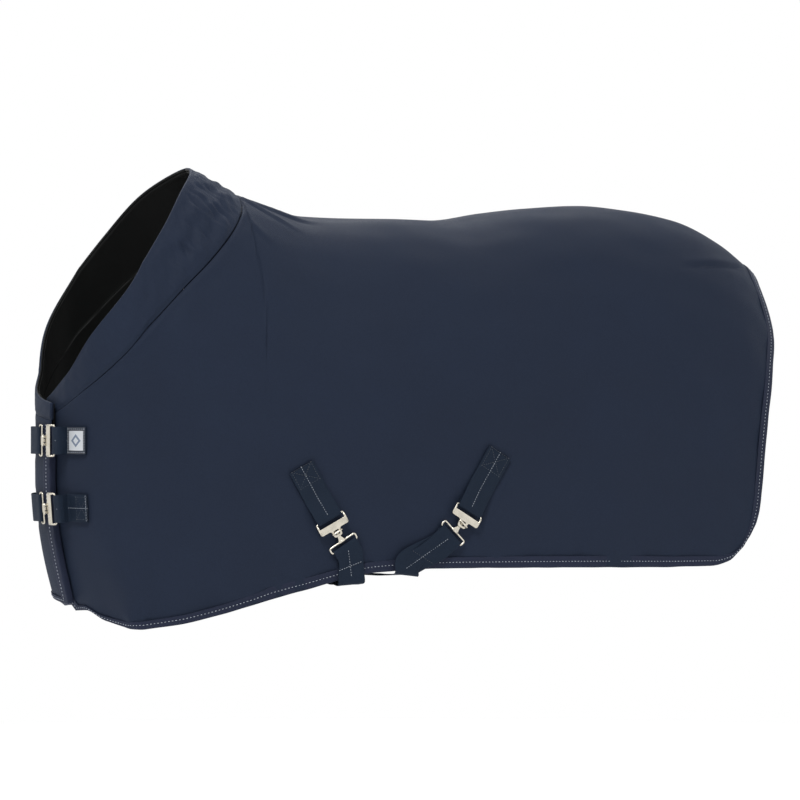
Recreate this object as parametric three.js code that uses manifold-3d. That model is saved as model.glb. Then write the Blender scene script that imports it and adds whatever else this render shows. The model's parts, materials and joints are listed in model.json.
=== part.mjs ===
// A turnout rug for a horse with a 135 cm back, as it hangs on the horse: padded side panels, two chest
// flaps that lap over each other, a padded collar, bound edges, two T-hook fasteners on the chest and two
// crossed belly straps. Millimetres, +Z up, the head end at -X, the near (left) side at -Y.
// The origin is on the underside of the spine tape, at the lowest point of the back.
import * as THREE from "three";
import { mergeVertices } from "three/addons/utils/BufferGeometryUtils.js";
import Module from "manifold-3d";

const wasm = await Module();
wasm.setup();

// ---- Overall sizes. The outlines below are drawn for these and stretch with them.
const BACK_LENGTH = 1350; // along the spine, from the collar's front edge to the tail
const RUG_DEPTH = 788; // from the back line down to the lowest point of the hem
const HALF_WIDTH = 292; // from the middle of the horse to the outside of the barrel
const STRETCH_X = BACK_LENGTH / 1350;
const STRETCH_Z = RUG_DEPTH / 788;
const STRETCH_Y = HALF_WIDTH / 292;

// ---- Cloth layers, from the outside in
const SHELL = 1.8; // outer fabric
const FILLING = 5; // wadding
const LINING = 1.6;
const GAP = 0.4; // between pieces that lie on each other
const LAYERS = SHELL + GAP + FILLING + GAP + LINING;
const TAPE = 1.5; // spine tape, thickness
const TAPE_WIDTH = 30;
const BINDING = 1.2; // edge binding, thickness
const BINDING_GAP = 0.9; // between the cloth and the binding round it
const COLLAR_SKIN = 2; // collar cover, thickness
const RIDGE_EASE = (1.6 * STRETCH_Z) / STRETCH_Y ** 2; // room for the ridge's curve over the flat tape
const SEAT_HALF = 55; // half length of the tape's flat middle
const BACK_RISE = TAPE + RIDGE_EASE + LAYERS; // from the origin up to the outer face of the back

// ---- Straps and fasteners
const STRAP_WIDTH = 52;
const STRAP = 3; // thickness
const STRAP_LIFT = 4.5; // a belly strap's inner face above the shell
const TAB_LIFT = 0.8; // a sewn tab's inner face above the shell
const LOOP = 5; // thickness of the end loop that holds a fastener
const WIRE = 1.8; // radius of the fasteners' round wire
const PLATE = 2.2; // thickness of a slotted plate
const PLATE_HEIGHT = 13;
const SIDE_PLAY = 1.2; // between a strap's edge and the metal beside it
const HOOK_REACH = 33; // from the slotted plate's middle to the hook's bar

// ---- Chest
const NOSE_X = -745 * STRETCH_X; // the foremost point of the chest
const NOSE_DEPTH = 130 * STRETCH_X; // how far the chest's rounding reaches back
const NOSE_ARC = 256 * STRETCH_Y; // length of that rounding along the cloth, from the middle to the flank
const CENTRE_U = NOSE_X + NOSE_DEPTH - NOSE_ARC; // the chest's middle in the unrolled cloth
const LAP_UNDER = 0; // the near flap ends this far short of the middle
const LAP_OVER = 42; // the off flap ends this far past the middle
const LAP_LIFT = LAYERS + 2 * (BINDING_GAP + BINDING) + 1; // the off flap rides this far outside the near one
const LAP_FROM = 87; // the off flap starts to rise this far from the middle
const LAP_EASE = 70; // and has risen this much further on
const OFF_RISE = 24; // the off side's hem is drawn up this much in front
const FOLD_X = -557 * STRETCH_X; // the line that the chest flaps open about
const FOLD_GAP = 0.5;

// A smooth curve y(x) through knots [x, y], with no overshoot between them.
function curve(knots, kx = 1, ky = 1) {
  const p = knots.map(([x, y]) => [x * kx, y * ky]).sort((a, b) => a[0] - b[0]);
  const slope = p.slice(1).map((q, i) => (q[1] - p[i][1]) / (q[0] - p[i][0]));
  const tangent = p.map((_, i) => {
    const [a, b] = [slope[Math.max(i - 1, 0)], slope[Math.min(i, slope.length - 1)]];
    return a * b <= 0 ? 0 : (2 * a * b) / (a + b);
  });
  return (x) => {
    let i = p.findIndex((q) => q[0] > x) - 1;
    if (i === -2) i = p.length - 2;
    i = Math.max(i, 0);
    const h = p[i + 1][0] - p[i][0];
    const t = Math.min(Math.max((x - p[i][0]) / h, 0), 1);
    const [t2, t3] = [t * t, t * t * t];
    return (2 * t3 - 3 * t2 + 1) * p[i][1] + (t3 - 2 * t2 + t) * h * tangent[i]
      + (3 * t2 - 2 * t3) * p[i + 1][1] + (t3 - t2) * h * tangent[i + 1];
  };
}
const smoothstep = (t) => t * t * (3 - 2 * t) * (t > 0 && t < 1) + (t >= 1);
const mix = (a, b, t) => a + (b - a) * t;

// ---- The horse's form: the back line, the half width, the drop to the widest level, and how sharp the
// ridge is (0.5 is round). Heights here are below or above the back line's lowest point.
const backLine = curve([[-745, 225], [-560, 140], [-457, 91], [-363, 43], [-303, 21], [-218, 2], [-131, 0],
  [-60, 0], [60, 0], [178, 17], [269, 28], [407, 37], [500, 30], [594, 14], [690, -24], [738, -54],
  [786, -90], [800, -102]], STRETCH_X, STRETCH_Z);
const halfWidth = curve([[-745, 188], [-600, 200], [-450, 235], [-300, 262], [-100, 286], [100, 292],
  [300, 287], [500, 277], [650, 262], [740, 231], [800, 188]], STRETCH_X, STRETCH_Y);
const shoulderDrop = curve([[-745, 430], [-450, 420], [-200, 390], [100, 370], [500, 340], [800, 320]],
  STRETCH_X, STRETCH_Z);
const ridge = curve([[-745, 0.64], [-457, 0.56], [-250, 0.53], [0, 0.5], [800, 0.5]], STRETCH_X);
const CHEST_LEAN = 39 * STRETCH_X; // how far the chest's foot leans back
const LEAN_FROM = -500 * STRETCH_Z;
const LEAN_OVER = 239 * STRETCH_Z;

// The cloth is unrolled to (u, v): u runs along the horse and round the chest, v down from the spine.
const quarterArc = (x) => (Math.PI / 2) * Math.hypot(shoulderDrop(x), halfWidth(x)) / Math.SQRT2;
const noseAngle = (u) => ((Math.PI / 2) * (u - CENTRE_U)) / NOSE_ARC;
const alongX = (u) => (u >= NOSE_X + NOSE_DEPTH ? u : NOSE_X + NOSE_DEPTH * (1 - Math.cos(noseAngle(u))));

// v of the point that lies at height z on the line u.
function dropOf(u, z) {
  const x = alongX(u);
  const down = Math.max(backLine(x) - z, 0);
  const a = shoulderDrop(x);
  return down < a ? (Math.acos(1 - down / a) * quarterArc(x)) / (Math.PI / 2) : quarterArc(x) + down - a;
}

// The outer face of the near side at (u, v).
function formPoint(u, v) {
  const x = alongX(u);
  const a = shoulderDrop(x);
  const psi = Math.min((v / quarterArc(x)) * (Math.PI / 2), Math.PI / 2);
  const z = backLine(x) - a * (1 - Math.cos(psi)) - Math.max(v - quarterArc(x), 0);
  const round = u >= NOSE_X + NOSE_DEPTH ? 1 : Math.sin(noseAngle(u));
  const y = -halfWidth(x) * Math.sin(Math.max(psi, 0)) ** (2 * ridge(x)) * round;
  const foot = Math.max(LEAN_FROM - z, 0) / LEAN_OVER;
  const lean = CHEST_LEAN * foot * foot * smoothstep((-600 * STRETCH_X - u) / (160 * STRETCH_X));
  return new THREE.Vector3(x + lean, y, z + BACK_RISE);
}

// Outward normal of the near side. On the spine it lies in the middle plane.
function formNormal(u, v) {
  const e = 2;
  const w = Math.max(v, 3 * e);
  const du = formPoint(u + e, w).sub(formPoint(u - e, w));
  const dv = formPoint(u, w + e).sub(formPoint(u, w - e));
  const n = dv.cross(du).normalize();
  if (v < 3 * e) n.y = 0;
  return n.normalize();
}

// A point `depth` mm inside the outer face. side is -1 for the near side and 1 for the off side, whose
// flap rides over the near one on the chest.
function clothPoint(side, u, v, depth) {
  const lap = side > 0 ? LAP_LIFT * smoothstep((CENTRE_U + LAP_FROM - u) / LAP_EASE) : 0;
  const p = formPoint(u, v).addScaledVector(formNormal(u, v), lap - depth);
  if (v < 1) p.y = -GAP / 2;
  return side > 0 ? new THREE.Vector3(p.x, -p.y, p.z) : p;
}

// ---- Outlines in (u, height)
const NECK_TOP = -457 * STRETCH_X;
const COLLAR_TOP = -363 * STRETCH_X;
const TAIL = 800 * STRETCH_X;
const HEM_REAR = 636 * STRETCH_X;
const cornerOf = (side) => (side < 0 ? 30 : 14); // how far back the flap's rounded lower corner reaches
const neckLine = curve([[-936, -372], [-871, -358], [-800, -313], [-740, -240], [-643, -138], [-569, -38],
  [-510, 42], [-457, 91]], STRETCH_X, STRETCH_Z);
const collarSeam = curve([[-936, -404], [-836, -384], [-748, -337], [-672, -281], [-603, -215], [-538, -148],
  [-479, -93], [-400, -14], [-379, 12], [-363, 43]], STRETCH_X, STRETCH_Z);
const hemLine = curve([[-936, -770], [-871, -764], [-805, -758], [-766, -776], [-723, -785], [-686, -789],
  [-640, -789], [-556, -781], [-518, -773], [-332, -722], [-175, -687], [-50, -682], [250, -686],
  [500, -690], [560, -690], [600, -682], [636, -655]], STRETCH_X, STRETCH_Z);
const rearEdge = curve([[-102, 800], [-112, 760], [-124, 751], [-148, 747], [-213, 746], [-298, 723],
  [-428, 700], [-508, 690], [-572, 681], [-612, 668], [-655, 636]], STRETCH_Z, STRETCH_X);
const hemRise = (side, u) => (side > 0 ? OFF_RISE * smoothstep((-440 * STRETCH_X - u) / 160) : 0);
const hemOf = (side, u) => hemLine(u) + hemRise(side, u);
const flapEdge = curve([[-758, 1], [-748, 0.62], [-724, 0.26], [-690, 0.06], [-650, 0], [-300, 0]],
  STRETCH_Z);
const flapEnd = (side) => CENTRE_U + (side < 0 ? LAP_UNDER : -LAP_OVER);

// The point a share t of the way along a line of [u, v] points.
function along(line, t) {
  const at = [0];
  for (let i = 1; i < line.length; i++)
    at.push(at[i - 1] + Math.hypot(line[i][0] - line[i - 1][0], line[i][1] - line[i - 1][1]));
  const want = t * at[at.length - 1];
  let i = at.findIndex((d) => d > want);
  i = i < 0 ? line.length - 1 : Math.max(i, 1);
  const k = (want - at[i - 1]) / (at[i] - at[i - 1]);
  return [mix(line[i - 1][0], line[i][0], k), mix(line[i - 1][1], line[i][1], k)];
}

// The side panel's patch: (s, t) in 0..1 to (u, v), s from the flap's edge to the tail, t from the collar
// and spine down to the hem.
function panelPatch(side) {
  const end = flapEnd(side);
  const top = (s) => {
    const u = mix(end, TAIL, s);
    return [u, u < COLLAR_TOP ? dropOf(u, collarSeam(u)) : 0];
  };
  const bottom = (s) => {
    const u = mix(end + cornerOf(side), HEM_REAR, s);
    return [u, dropOf(u, hemOf(side, u))];
  };
  const line = (edge, from, to) => Array.from({ length: 25 }, (_, i) => {
    const z = mix(from, to, i / 24);
    return [edge(z), dropOf(edge(z), z)];
  });
  const foot = hemOf(side, end + cornerOf(side));
  const front = line((z) => end + cornerOf(side) * flapEdge(z), collarSeam(end), foot);
  const rear = line(rearEdge, -102 * STRETCH_Z, -655 * STRETCH_Z);
  return (s, t) => {
    const [a, b, c, d] = [top(s), bottom(s), along(front, t), along(rear, t)];
    const [a0, a1, b0, b1] = [top(0), top(1), bottom(0), bottom(1)];
    return [0, 1].map((k) => (1 - t) * a[k] + t * b[k] + (1 - s) * c[k] + s * d[k]
      - (1 - s) * (1 - t) * a0[k] - s * (1 - t) * a1[k] - (1 - s) * t * b0[k] - s * t * b1[k]);
  };
}

// The collar's patch: s from the flap's edge to the crest, t from the neckline back to the collar seam.
function collarPatch(side) {
  const end = flapEnd(side);
  return (s, t) => {
    const [un, uc] = [mix(end, NECK_TOP, s), mix(end, COLLAR_TOP, s)];
    const [vn, vc] = s === 1 ? [0, 0] : [dropOf(un, neckLine(un)), dropOf(uc, collarSeam(uc))];
    return [mix(un, uc, t), mix(vn, vc, t)];
  };
}

// ---- Solids
// A closed body through rings of points, all with the same number, capped at both ends by the outline.
// `crossed` says which faces split along the other diagonal.
function loft(rings, outline, crossed = () => false) {
  const n = rings[0].length;
  const points = rings.flat();
  const faces = [];
  for (let r = 0; r + 1 < rings.length; r++)
    for (let i = 0; i < n; i++) {
      const [a, b] = [r * n + i, r * n + ((i + 1) % n)];
      if (crossed(r, i)) faces.push([a, b, a + n], [b, b + n, a + n]);
      else faces.push([a, b, b + n], [a, b + n, a + n]);
    }
  const last = (rings.length - 1) * n;
  const contour = outline.map(([x, y]) => new THREE.Vector2(x, y));
  const turn = THREE.ShapeUtils.isClockWise(contour);
  for (const [a, p, q] of THREE.ShapeUtils.triangulateShape(contour, [])) {
    const [b, c] = turn ? [q, p] : [p, q];
    faces.push([a, c, b], [last + a, last + b, last + c]);
  }
  return solid(points, faces);
}

// A manifold-3d solid from points and faces, turned to face outwards, without faces that have no area.
function solid(points, faces) {
  let g = new THREE.BufferGeometry().setFromPoints(points);
  g.setIndex(faces.flat());
  g = mergeVertices(g, 1e-3);
  const index = [];
  for (let i = 0; i < g.index.count; i += 3) {
    const [a, b, c] = [0, 1, 2].map((k) => g.index.getX(i + k));
    if (a !== b && b !== c && a !== c) index.push(a, b, c);
  }
  const make = (order) => new wasm.Manifold(new wasm.Mesh({
    numProp: 3, vertProperties: g.attributes.position.array, triVerts: new Uint32Array(order) }));
  const made = make(index);
  return made.volume() > 0 ? made : make(index.reverse());
}

const fromGeometry = (geometry) => {
  const flat = geometry.index ? geometry.toNonIndexed() : geometry;
  const p = flat.getAttribute("position");
  const points = Array.from({ length: p.count }, (_, i) => new THREE.Vector3().fromBufferAttribute(p, i));
  return solid(points, Array.from({ length: p.count / 3 }, (_, i) => [3 * i, 3 * i + 1, 3 * i + 2]));
};

// A layer of cloth over a patch, between two depths.
function layer(side, patch, columns, rows, from, to) {
  const [nc, nr] = [columns.length, rows.length];
  const points = [from, to].flatMap((depth) => rows.flatMap((t) => columns.map((s) =>
    clothPoint(side, ...patch(s, t), depth))));
  const at = (face, r, c) => face * nc * nr + r * nc + c;
  const faces = [];
  const quad = (a, b, c, d) => faces.push([a, b, c], [a, c, d]);
  for (let r = 0; r + 1 < nr; r++)
    for (let c = 0; c + 1 < nc; c++) {
      quad(at(0, r, c), at(0, r + 1, c), at(0, r + 1, c + 1), at(0, r, c + 1));
      faces.push([at(1, r, c), at(1, r + 1, c + 1), at(1, r + 1, c)]);
      faces.push([at(1, r, c), at(1, r, c + 1), at(1, r + 1, c + 1)]);
    }
  for (let c = 0; c + 1 < nc; c++) {
    quad(at(0, 0, c), at(0, 0, c + 1), at(1, 0, c + 1), at(1, 0, c));
    quad(at(0, nr - 1, c + 1), at(0, nr - 1, c), at(1, nr - 1, c), at(1, nr - 1, c + 1));
  }
  for (let r = 0; r + 1 < nr; r++) {
    quad(at(0, r + 1, 0), at(0, r, 0), at(1, r, 0), at(1, r + 1, 0));
    quad(at(0, r, nc - 1), at(0, r + 1, nc - 1), at(1, r + 1, nc - 1), at(1, r, nc - 1));
  }
  return solid(points, faces);
}

// The two parts of a side, in front of the fold line and behind it.
const REACH = 4000;
function cutAtFold(body) {
  const box = fromGeometry(new THREE.BoxGeometry(REACH, REACH, REACH));
  const behind = box.translate([FOLD_X + FOLD_GAP / 2 + REACH / 2, 0, 0]);
  const before = box.translate([FOLD_X - FOLD_GAP / 2 - REACH / 2, 0, 0]);
  return { main: body.intersect(behind), flap: body.intersect(before) };
}

// ---- Finished nodes
const rug = new THREE.Group();
const MATERIALS = {
  shell: { color: 0x222a38, roughness: 0.62, metalness: 0 },
  wadding: { color: 0xd8d8d4, roughness: 0.95, metalness: 0 },
  lining: { color: 0x121213, roughness: 0.6, metalness: 0 },
  binding: { color: 0x2c3140, roughness: 0.7, metalness: 0 },
  strap: { color: 0x1f2734, roughness: 0.75, metalness: 0 },
  steel: { color: 0xc9c5bb, roughness: 0.28, metalness: 1 },
  label: { color: 0xe6e8ea, roughness: 0.7, metalness: 0 },
};
for (const key of Object.keys(MATERIALS)) MATERIALS[key] = new THREE.MeshStandardMaterial(MATERIALS[key]);

function node(name, material, body) {
  const m = body.getMesh();
  const g = new THREE.BufferGeometry();
  g.setAttribute("position", new THREE.BufferAttribute(new Float32Array(m.vertProperties), 3));
  g.setIndex(new THREE.BufferAttribute(m.triVerts, 1));
  const mesh = new THREE.Mesh(g, MATERIALS[material]);
  mesh.name = name;
  rug.add(mesh);
}

const SIDES = [["left", -1], ["right", 1]];
const HEM_SHARE = 0.026; // the binding's width as a share of the panel's depth
const EDGE_SHARE = 0.013; // and of its length
const share = (from, to, n) => Array.from({ length: n + 1 }, (_, i) => mix(from, to, i / n));
const collarShare = (side) => (COLLAR_TOP - flapEnd(side)) / (TAIL - flapEnd(side));
const columnsOf = (side) => [0, ...share(EDGE_SHARE, 0.1, 4), ...share(0.1, collarShare(side), 4).slice(1),
  ...share(collarShare(side), 1 - EDGE_SHARE, 12).slice(1), 1];
const ROWS = [0, 0.03, ...share(0.1, 1 - HEM_SHARE, 8), 1];

// ---- Side panels: shell, wadding and lining, each in a main part and a chest part
for (const [name, side] of SIDES) {
  const patch = panelPatch(side);
  const layers = [
    ["shell", "shell", 0, SHELL],
    ["wadding", "wadding", SHELL + GAP, SHELL + GAP + FILLING],
    ["lining", "lining", LAYERS - LINING, LAYERS],
  ];
  for (const [kind, material, from, to] of layers) {
    const parts = cutAtFold(layer(side, patch, columnsOf(side), ROWS, from, to));
    node(`${kind}_${name}`, material, parts.main);
    node(`${kind}_${name}_chest`, material, parts.flap);
  }
}

// ---- Edge binding: a folded tape round the flap's edge, the hem and the rear edge
function bindingBody(side) {
  const patch = panelPatch(side);
  const [s1, t1] = [1 - EDGE_SHARE, 1 - HEM_SHARE];
  const front = ROWS.slice(1, -1).map((t) => [0, t, EDGE_SHARE, t]);
  const foot = columnsOf(side).slice(1, -1).map((s) => [s, 1, s, t1]);
  const under = [[0, 1, EDGE_SHARE, t1], ...foot, [1, 1, s1, t1]];
  const rear = ROWS.slice(1, -1).reverse().map((t) => [1, t, s1, t]);
  const stations = [...front, ...under, ...rear];
  const inner = LAYERS + BINDING_GAP;
  const rings = stations.map(([se, te, si, ti]) => {
    const [e, i] = [patch(se, te), patch(si, ti)];
    const out = clothPoint(side, ...e, 0).sub(clothPoint(side, ...i, 0)).normalize();
    const edge = (depth, beyond) => clothPoint(side, ...e, depth).addScaledVector(out, beyond);
    const inside = (depth) => clothPoint(side, ...i, depth);
    const outer = BINDING_GAP + BINDING;
    return [inside(-BINDING_GAP), edge(-BINDING_GAP, BINDING_GAP), edge(inner, BINDING_GAP), inside(inner),
      inside(inner + BINDING), edge(inner + BINDING, outer), edge(-outer, outer), inside(-outer)];
  });
  const outline = [[0, 1], [9, 1], [9, -9], [0, -9], [0, -10], [10, -10], [10, 2], [0, 2]];
  const underFrom = front.length - 1;
  const underTo = underFrom + under.length;
  const crossed = (r, i) => (r < underFrom || r >= underTo) === (i < 2 || i > 5);
  return loft(rings, outline, crossed);
}
for (const [name, side] of SIDES) {
  const parts = cutAtFold(bindingBody(side));
  node(`hem_binding_${name}`, "binding", parts.main);
  node(`chest_binding_${name}`, "binding", parts.flap);
}

// ---- Collar: a cover that turns in over the neckline, padding in it, and a lining behind
const SEAM_GAP = 1.2; // between the collar and the panels
const COLLAR_ROWS = [0.06, 0.35, 0.65, 0.96];
const collarSteps = (side) => columnsOf(side).filter((s) => s <= collarShare(side))
  .map((s) => s / collarShare(side));
function collarCover(side) {
  const patch = collarPatch(side);
  const rings = collarSteps(side).map((s) => {
    const at = (t, depth) => clothPoint(side, ...patch(s, t), depth);
    const fold = at(0, LAYERS / 2).sub(at(0.05, LAYERS / 2)).normalize();
    const nose = (depth, ahead) => at(0, depth).addScaledVector(fold, ahead);
    const end = 1 - SEAM_GAP / at(0, 0).distanceTo(at(1, 0));
    const [turned, b, c] = COLLAR_ROWS;
    return [at(end, 0), at(c, 0), at(b, 0), at(turned, 0), at(0, 0), nose(COLLAR_SKIN, 2.5),
      nose(LAYERS - COLLAR_SKIN, 2.5), at(0, LAYERS), at(turned, LAYERS), at(turned, LAYERS - COLLAR_SKIN),
      at(0.01, LAYERS - COLLAR_SKIN), at(0.01, COLLAR_SKIN), at(turned, COLLAR_SKIN), at(b, COLLAR_SKIN),
      at(c, COLLAR_SKIN), at(end, COLLAR_SKIN)];
  });
  const outline = [[-100, 0], [-65, 2], [-35, 2.5], [-6, 1.5], [0, 0], [3, -2], [3, -7], [0, -9], [-6, -9.5],
    [-6, -7.5], [-1, -7], [-1, -2], [-6, -1], [-35, 0], [-65, -0.5], [-100, -2]];
  return loft(rings, outline);
}
for (const [name, side] of SIDES) {
  const rows = [COLLAR_ROWS[0] + 0.02, ...COLLAR_ROWS.slice(1)];
  const inside = (from, to) => cutAtFold(layer(side, collarPatch(side), collarSteps(side), rows, from, to));
  const cover = cutAtFold(collarCover(side));
  const pad = inside(COLLAR_SKIN + 2 * GAP, LAYERS - LINING - GAP);
  const back = inside(LAYERS - LINING, LAYERS);
  node(`collar_cover_${name}`, "shell", cover.main);
  node(`collar_cover_${name}_chest`, "shell", cover.flap);
  node(`collar_padding_${name}`, "wadding", pad.main);
  node(`collar_padding_${name}_chest`, "wadding", pad.flap);
  node(`collar_lining_${name}`, "lining", back.main);
  node(`collar_lining_${name}_chest`, "lining", back.flap);
}

// ---- Spine tape, under the seam where the two sides meet. Its flat middle is where the rug rests.
{
  const columns = columnsOf(-1).map((s) => mix(flapEnd(-1), TAIL, s));
  const inRange = (u) => u > COLLAR_TOP + 30 && u < TAIL - 25 && Math.abs(u) > SEAT_HALF + 20;
  const stations = [...columns.filter(inRange), -SEAT_HALF, SEAT_HALF].sort((a, b) => a - b);
  const corners = [[1, 0], [1, TAPE], [-1, TAPE], [-1, 0]];
  const rings = stations.map((u) => corners.map(([y, k]) =>
    clothPoint(-1, u, 0, LAYERS + RIDGE_EASE + k).setY((y * TAPE_WIDTH) / 2)));
  node("spine_tape", "lining", loft(rings, [[15, 0], [15, -1.5], [-15, -1.5], [-15, 0]]));
}

// ---- Straps. A strap is a flat strip through frames {p: middle, w: across it, n: its outer face's normal}.
function strip(frames, width = STRAP_WIDTH, thick = STRAP) {
  const rings = frames.map(({ p, w, n }) => [[1, 0], [1, 1], [-1, 1], [-1, 0]].map(([a, b]) =>
    p.clone().addScaledVector(w, (a * width) / 2).addScaledVector(n, b * thick)));
  return loft(rings, [[width / 2, 0], [width / 2, thick], [-width / 2, thick], [-width / 2, 0]]);
}

// A frame on the outside of a side, `lift` above the shell, heading the way (du, dz) in the unrolled cloth.
function onCloth(side, u, z, du, dz, lift) {
  const v = dropOf(u, z);
  const flip = new THREE.Vector3(1, -side, 1);
  const n = formNormal(u, v).multiply(flip);
  const ahead = [u + du * 0.01, z + dz * 0.01];
  const p = clothPoint(side, u, v, -lift);
  const d = clothPoint(side, ahead[0], dropOf(...ahead), -lift).sub(p).normalize();
  return { p, d, n, w: new THREE.Vector3().crossVectors(d, n).normalize() };
}
const stretchUZ = ([u, z]) => [u * STRETCH_X, z * STRETCH_Z];

// A fastener's place: the middle of its slotted plate, x across the strap, y towards the hook, z outwards.
function placeOf({ p, d, n }) {
  const across = new THREE.Vector3().crossVectors(d, n).normalize();
  const out = new THREE.Vector3().crossVectors(across, d).normalize();
  return new THREE.Matrix4().makeBasis(across, d, out).setPosition(p);
}
const placed = (body, matrix) => body.transform(matrix.toArray());

// The frame at (y, z) of a fastener's place.
function frameIn(matrix, y, z) {
  const [w, d, n] = [0, 1, 2].map(() => new THREE.Vector3());
  matrix.extractBasis(w, d, n);
  return { p: new THREE.Vector3(0, y, z).applyMatrix4(matrix), w, d, n };
}

// ---- Fasteners, drawn flat: x across the strap, y towards the hook, z outwards
const BAR_Z = 1 - LOOP / 2; // the strap bar's height over the plate's back
const FRAME_HALF = STRAP_WIDTH / 2 + SIDE_PLAY + WIRE; // to the middle of the wire beside the strap
const BAR_BACK = 17; // the plate's strap bar lies this far behind the plate's middle
const SLOT_HALF = 5; // half the slot's width
const SLOT_FROM = PLATE_HEIGHT / 2 + 1.5;
const SLOT_LONG = 9;
const LUG_BAR = 4;
const BEAD = 8; // sides of a round bar
const LEAF = 2.4; // thickness of the hook's flat neck
const box = (x0, x1, y0, y1, z0, z1) => fromGeometry(new THREE.BoxGeometry(x1 - x0, y1 - y0, z1 - z0))
  .translate([(x0 + x1) / 2, (y0 + y1) / 2, (z0 + z1) / 2]);

// A round bar through points, with a ball at each corner.
const UP_Y = new THREE.Vector3(0, 1, 0);
function wire(points, radius = WIRE, closed = false) {
  const v = points.map((p) => new THREE.Vector3(...p));
  let body = null;
  for (let i = 0; i + 1 < v.length; i++) {
    const d = v[i + 1].clone().sub(v[i]);
    const rod = new THREE.CylinderGeometry(radius, radius, d.length(), BEAD);
    rod.applyQuaternion(new THREE.Quaternion().setFromUnitVectors(UP_Y, d.clone().normalize()));
    rod.translate(...v[i].clone().add(v[i + 1]).multiplyScalar(0.5).toArray());
    body = body ? body.add(fromGeometry(rod)) : fromGeometry(rod);
    const ball = () => fromGeometry(new THREE.SphereGeometry(radius, BEAD, 6)).translate(points[i]);
    if (closed || i > 0) body = body.add(ball());
  }
  return body;
}

// The slotted plate: a face plate, two arms to the strap bar, and a lug with the slot that takes the hook.
function slottedPlate() {
  const h = PLATE_HEIGHT / 2;
  const wide = FRAME_HALF + WIRE;
  const face = new THREE.Shape();
  face.moveTo(-wide, -h + 3).lineTo(-wide + 4, h - 2).quadraticCurveTo(-wide + 5, h, -wide + 8, h);
  face.lineTo(wide - 8, h).quadraticCurveTo(wide - 5, h, wide - 4, h - 2).lineTo(wide, -h + 3);
  face.lineTo(wide, -BAR_BACK + 4).lineTo(wide - 2 * WIRE, -BAR_BACK + 4).lineTo(wide - 2 * WIRE, -h);
  face.lineTo(-wide + 2 * WIRE, -h).lineTo(-wide + 2 * WIRE, -BAR_BACK + 4).lineTo(-wide, -BAR_BACK + 4);
  const cut = new THREE.ExtrudeGeometry(face, { depth: PLATE, bevelEnabled: false, curveSegments: 4 });
  const arm = WIRE - 0.2;
  const bar = wire([[-FRAME_HALF, -BAR_BACK + 5, arm - 1], [-FRAME_HALF, -BAR_BACK, BAR_Z],
    [FRAME_HALF, -BAR_BACK, BAR_Z], [FRAME_HALF, -BAR_BACK + 5, arm - 1]]);
  const outer = SLOT_HALF + LUG_BAR;
  const lug = box(-outer, outer, h - 1, SLOT_FROM + SLOT_LONG + LUG_BAR, 0, PLATE);
  const slot = box(-SLOT_HALF, SLOT_HALF, SLOT_FROM, SLOT_FROM + SLOT_LONG, -9, 9);
  return fromGeometry(cut).add(bar).add(lug).subtract(slot);
}

// The T hook: a bent neck whose head lies across the slot, and a wire frame that holds the strap's loop.
const NECK = 2.5; // half width of the neck
const HEAD_HALF = 11;
const HOOK_Y = SLOT_FROM + SLOT_LONG / 2;
const LOOP_REACH = 12; // from the bar to the end of the strap's loop
const FRAME_BACK = 11; // from the hook's bar to the bar in the strap's loop
function tHook() {
  const back = -1.2; // the neck's front face behind the lug
  const frame = wire([[-FRAME_HALF, HOOK_REACH, back - 2], [FRAME_HALF, HOOK_REACH, back - 2],
    [FRAME_HALF, HOOK_REACH + FRAME_BACK, back - 2], [-FRAME_HALF, HOOK_REACH + FRAME_BACK, back - 2],
    [-FRAME_HALF, HOOK_REACH, back - 2]], WIRE, true);
  const neck = new THREE.Shape();
  neck.moveTo(-NECK, HOOK_Y - 2).lineTo(NECK, HOOK_Y - 2).lineTo(NECK, HOOK_Y + 5);
  neck.lineTo(8, HOOK_REACH).lineTo(-8, HOOK_REACH).lineTo(-NECK, HOOK_Y + 5);
  const flatNeck = new THREE.ExtrudeGeometry(neck, { depth: LEAF, bevelEnabled: false });
  const leaf = fromGeometry(flatNeck).translate([0, 0, back - LEAF]);
  const through = box(-NECK, NECK, HOOK_Y - 2, HOOK_Y + 1.5, back - 1, PLATE + 3);
  const head = box(-HEAD_HALF, HEAD_HALF, HOOK_Y - 2, HOOK_Y + 2, PLATE + 0.8, PLATE + 3.8);
  return frame.add(leaf).add(through).add(head);
}

// The slider: two bars behind the strap, one in front of it, and a rail along each side.
const SLIDER_WIRE = 1.5;
const SLIDER_LONG = 15; // from the middle bar to an end bar
function slider() {
  const r = SLIDER_WIRE;
  const half = STRAP_WIDTH / 2 + SIDE_PLAY + r;
  const behind = -r - GAP;
  const front = STRAP + GAP + r;
  const ring = wire([[-half, -SLIDER_LONG, behind], [half, -SLIDER_LONG, behind], [half, SLIDER_LONG, behind],
    [-half, SLIDER_LONG, behind], [-half, -SLIDER_LONG, behind]], r, true);
  return ring.add(wire([[-half, 0, behind], [-half, 0, front], [half, 0, front], [half, 0, behind]], r));
}
const SLIDER_SOLID = slider();
const PLATE_SOLID = slottedPlate();
const HOOK_SOLID = tHook();
const HOOK_BAR_Y = HOOK_REACH + FRAME_BACK;
const HOOK_BAR_Z = -3.2;

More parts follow.
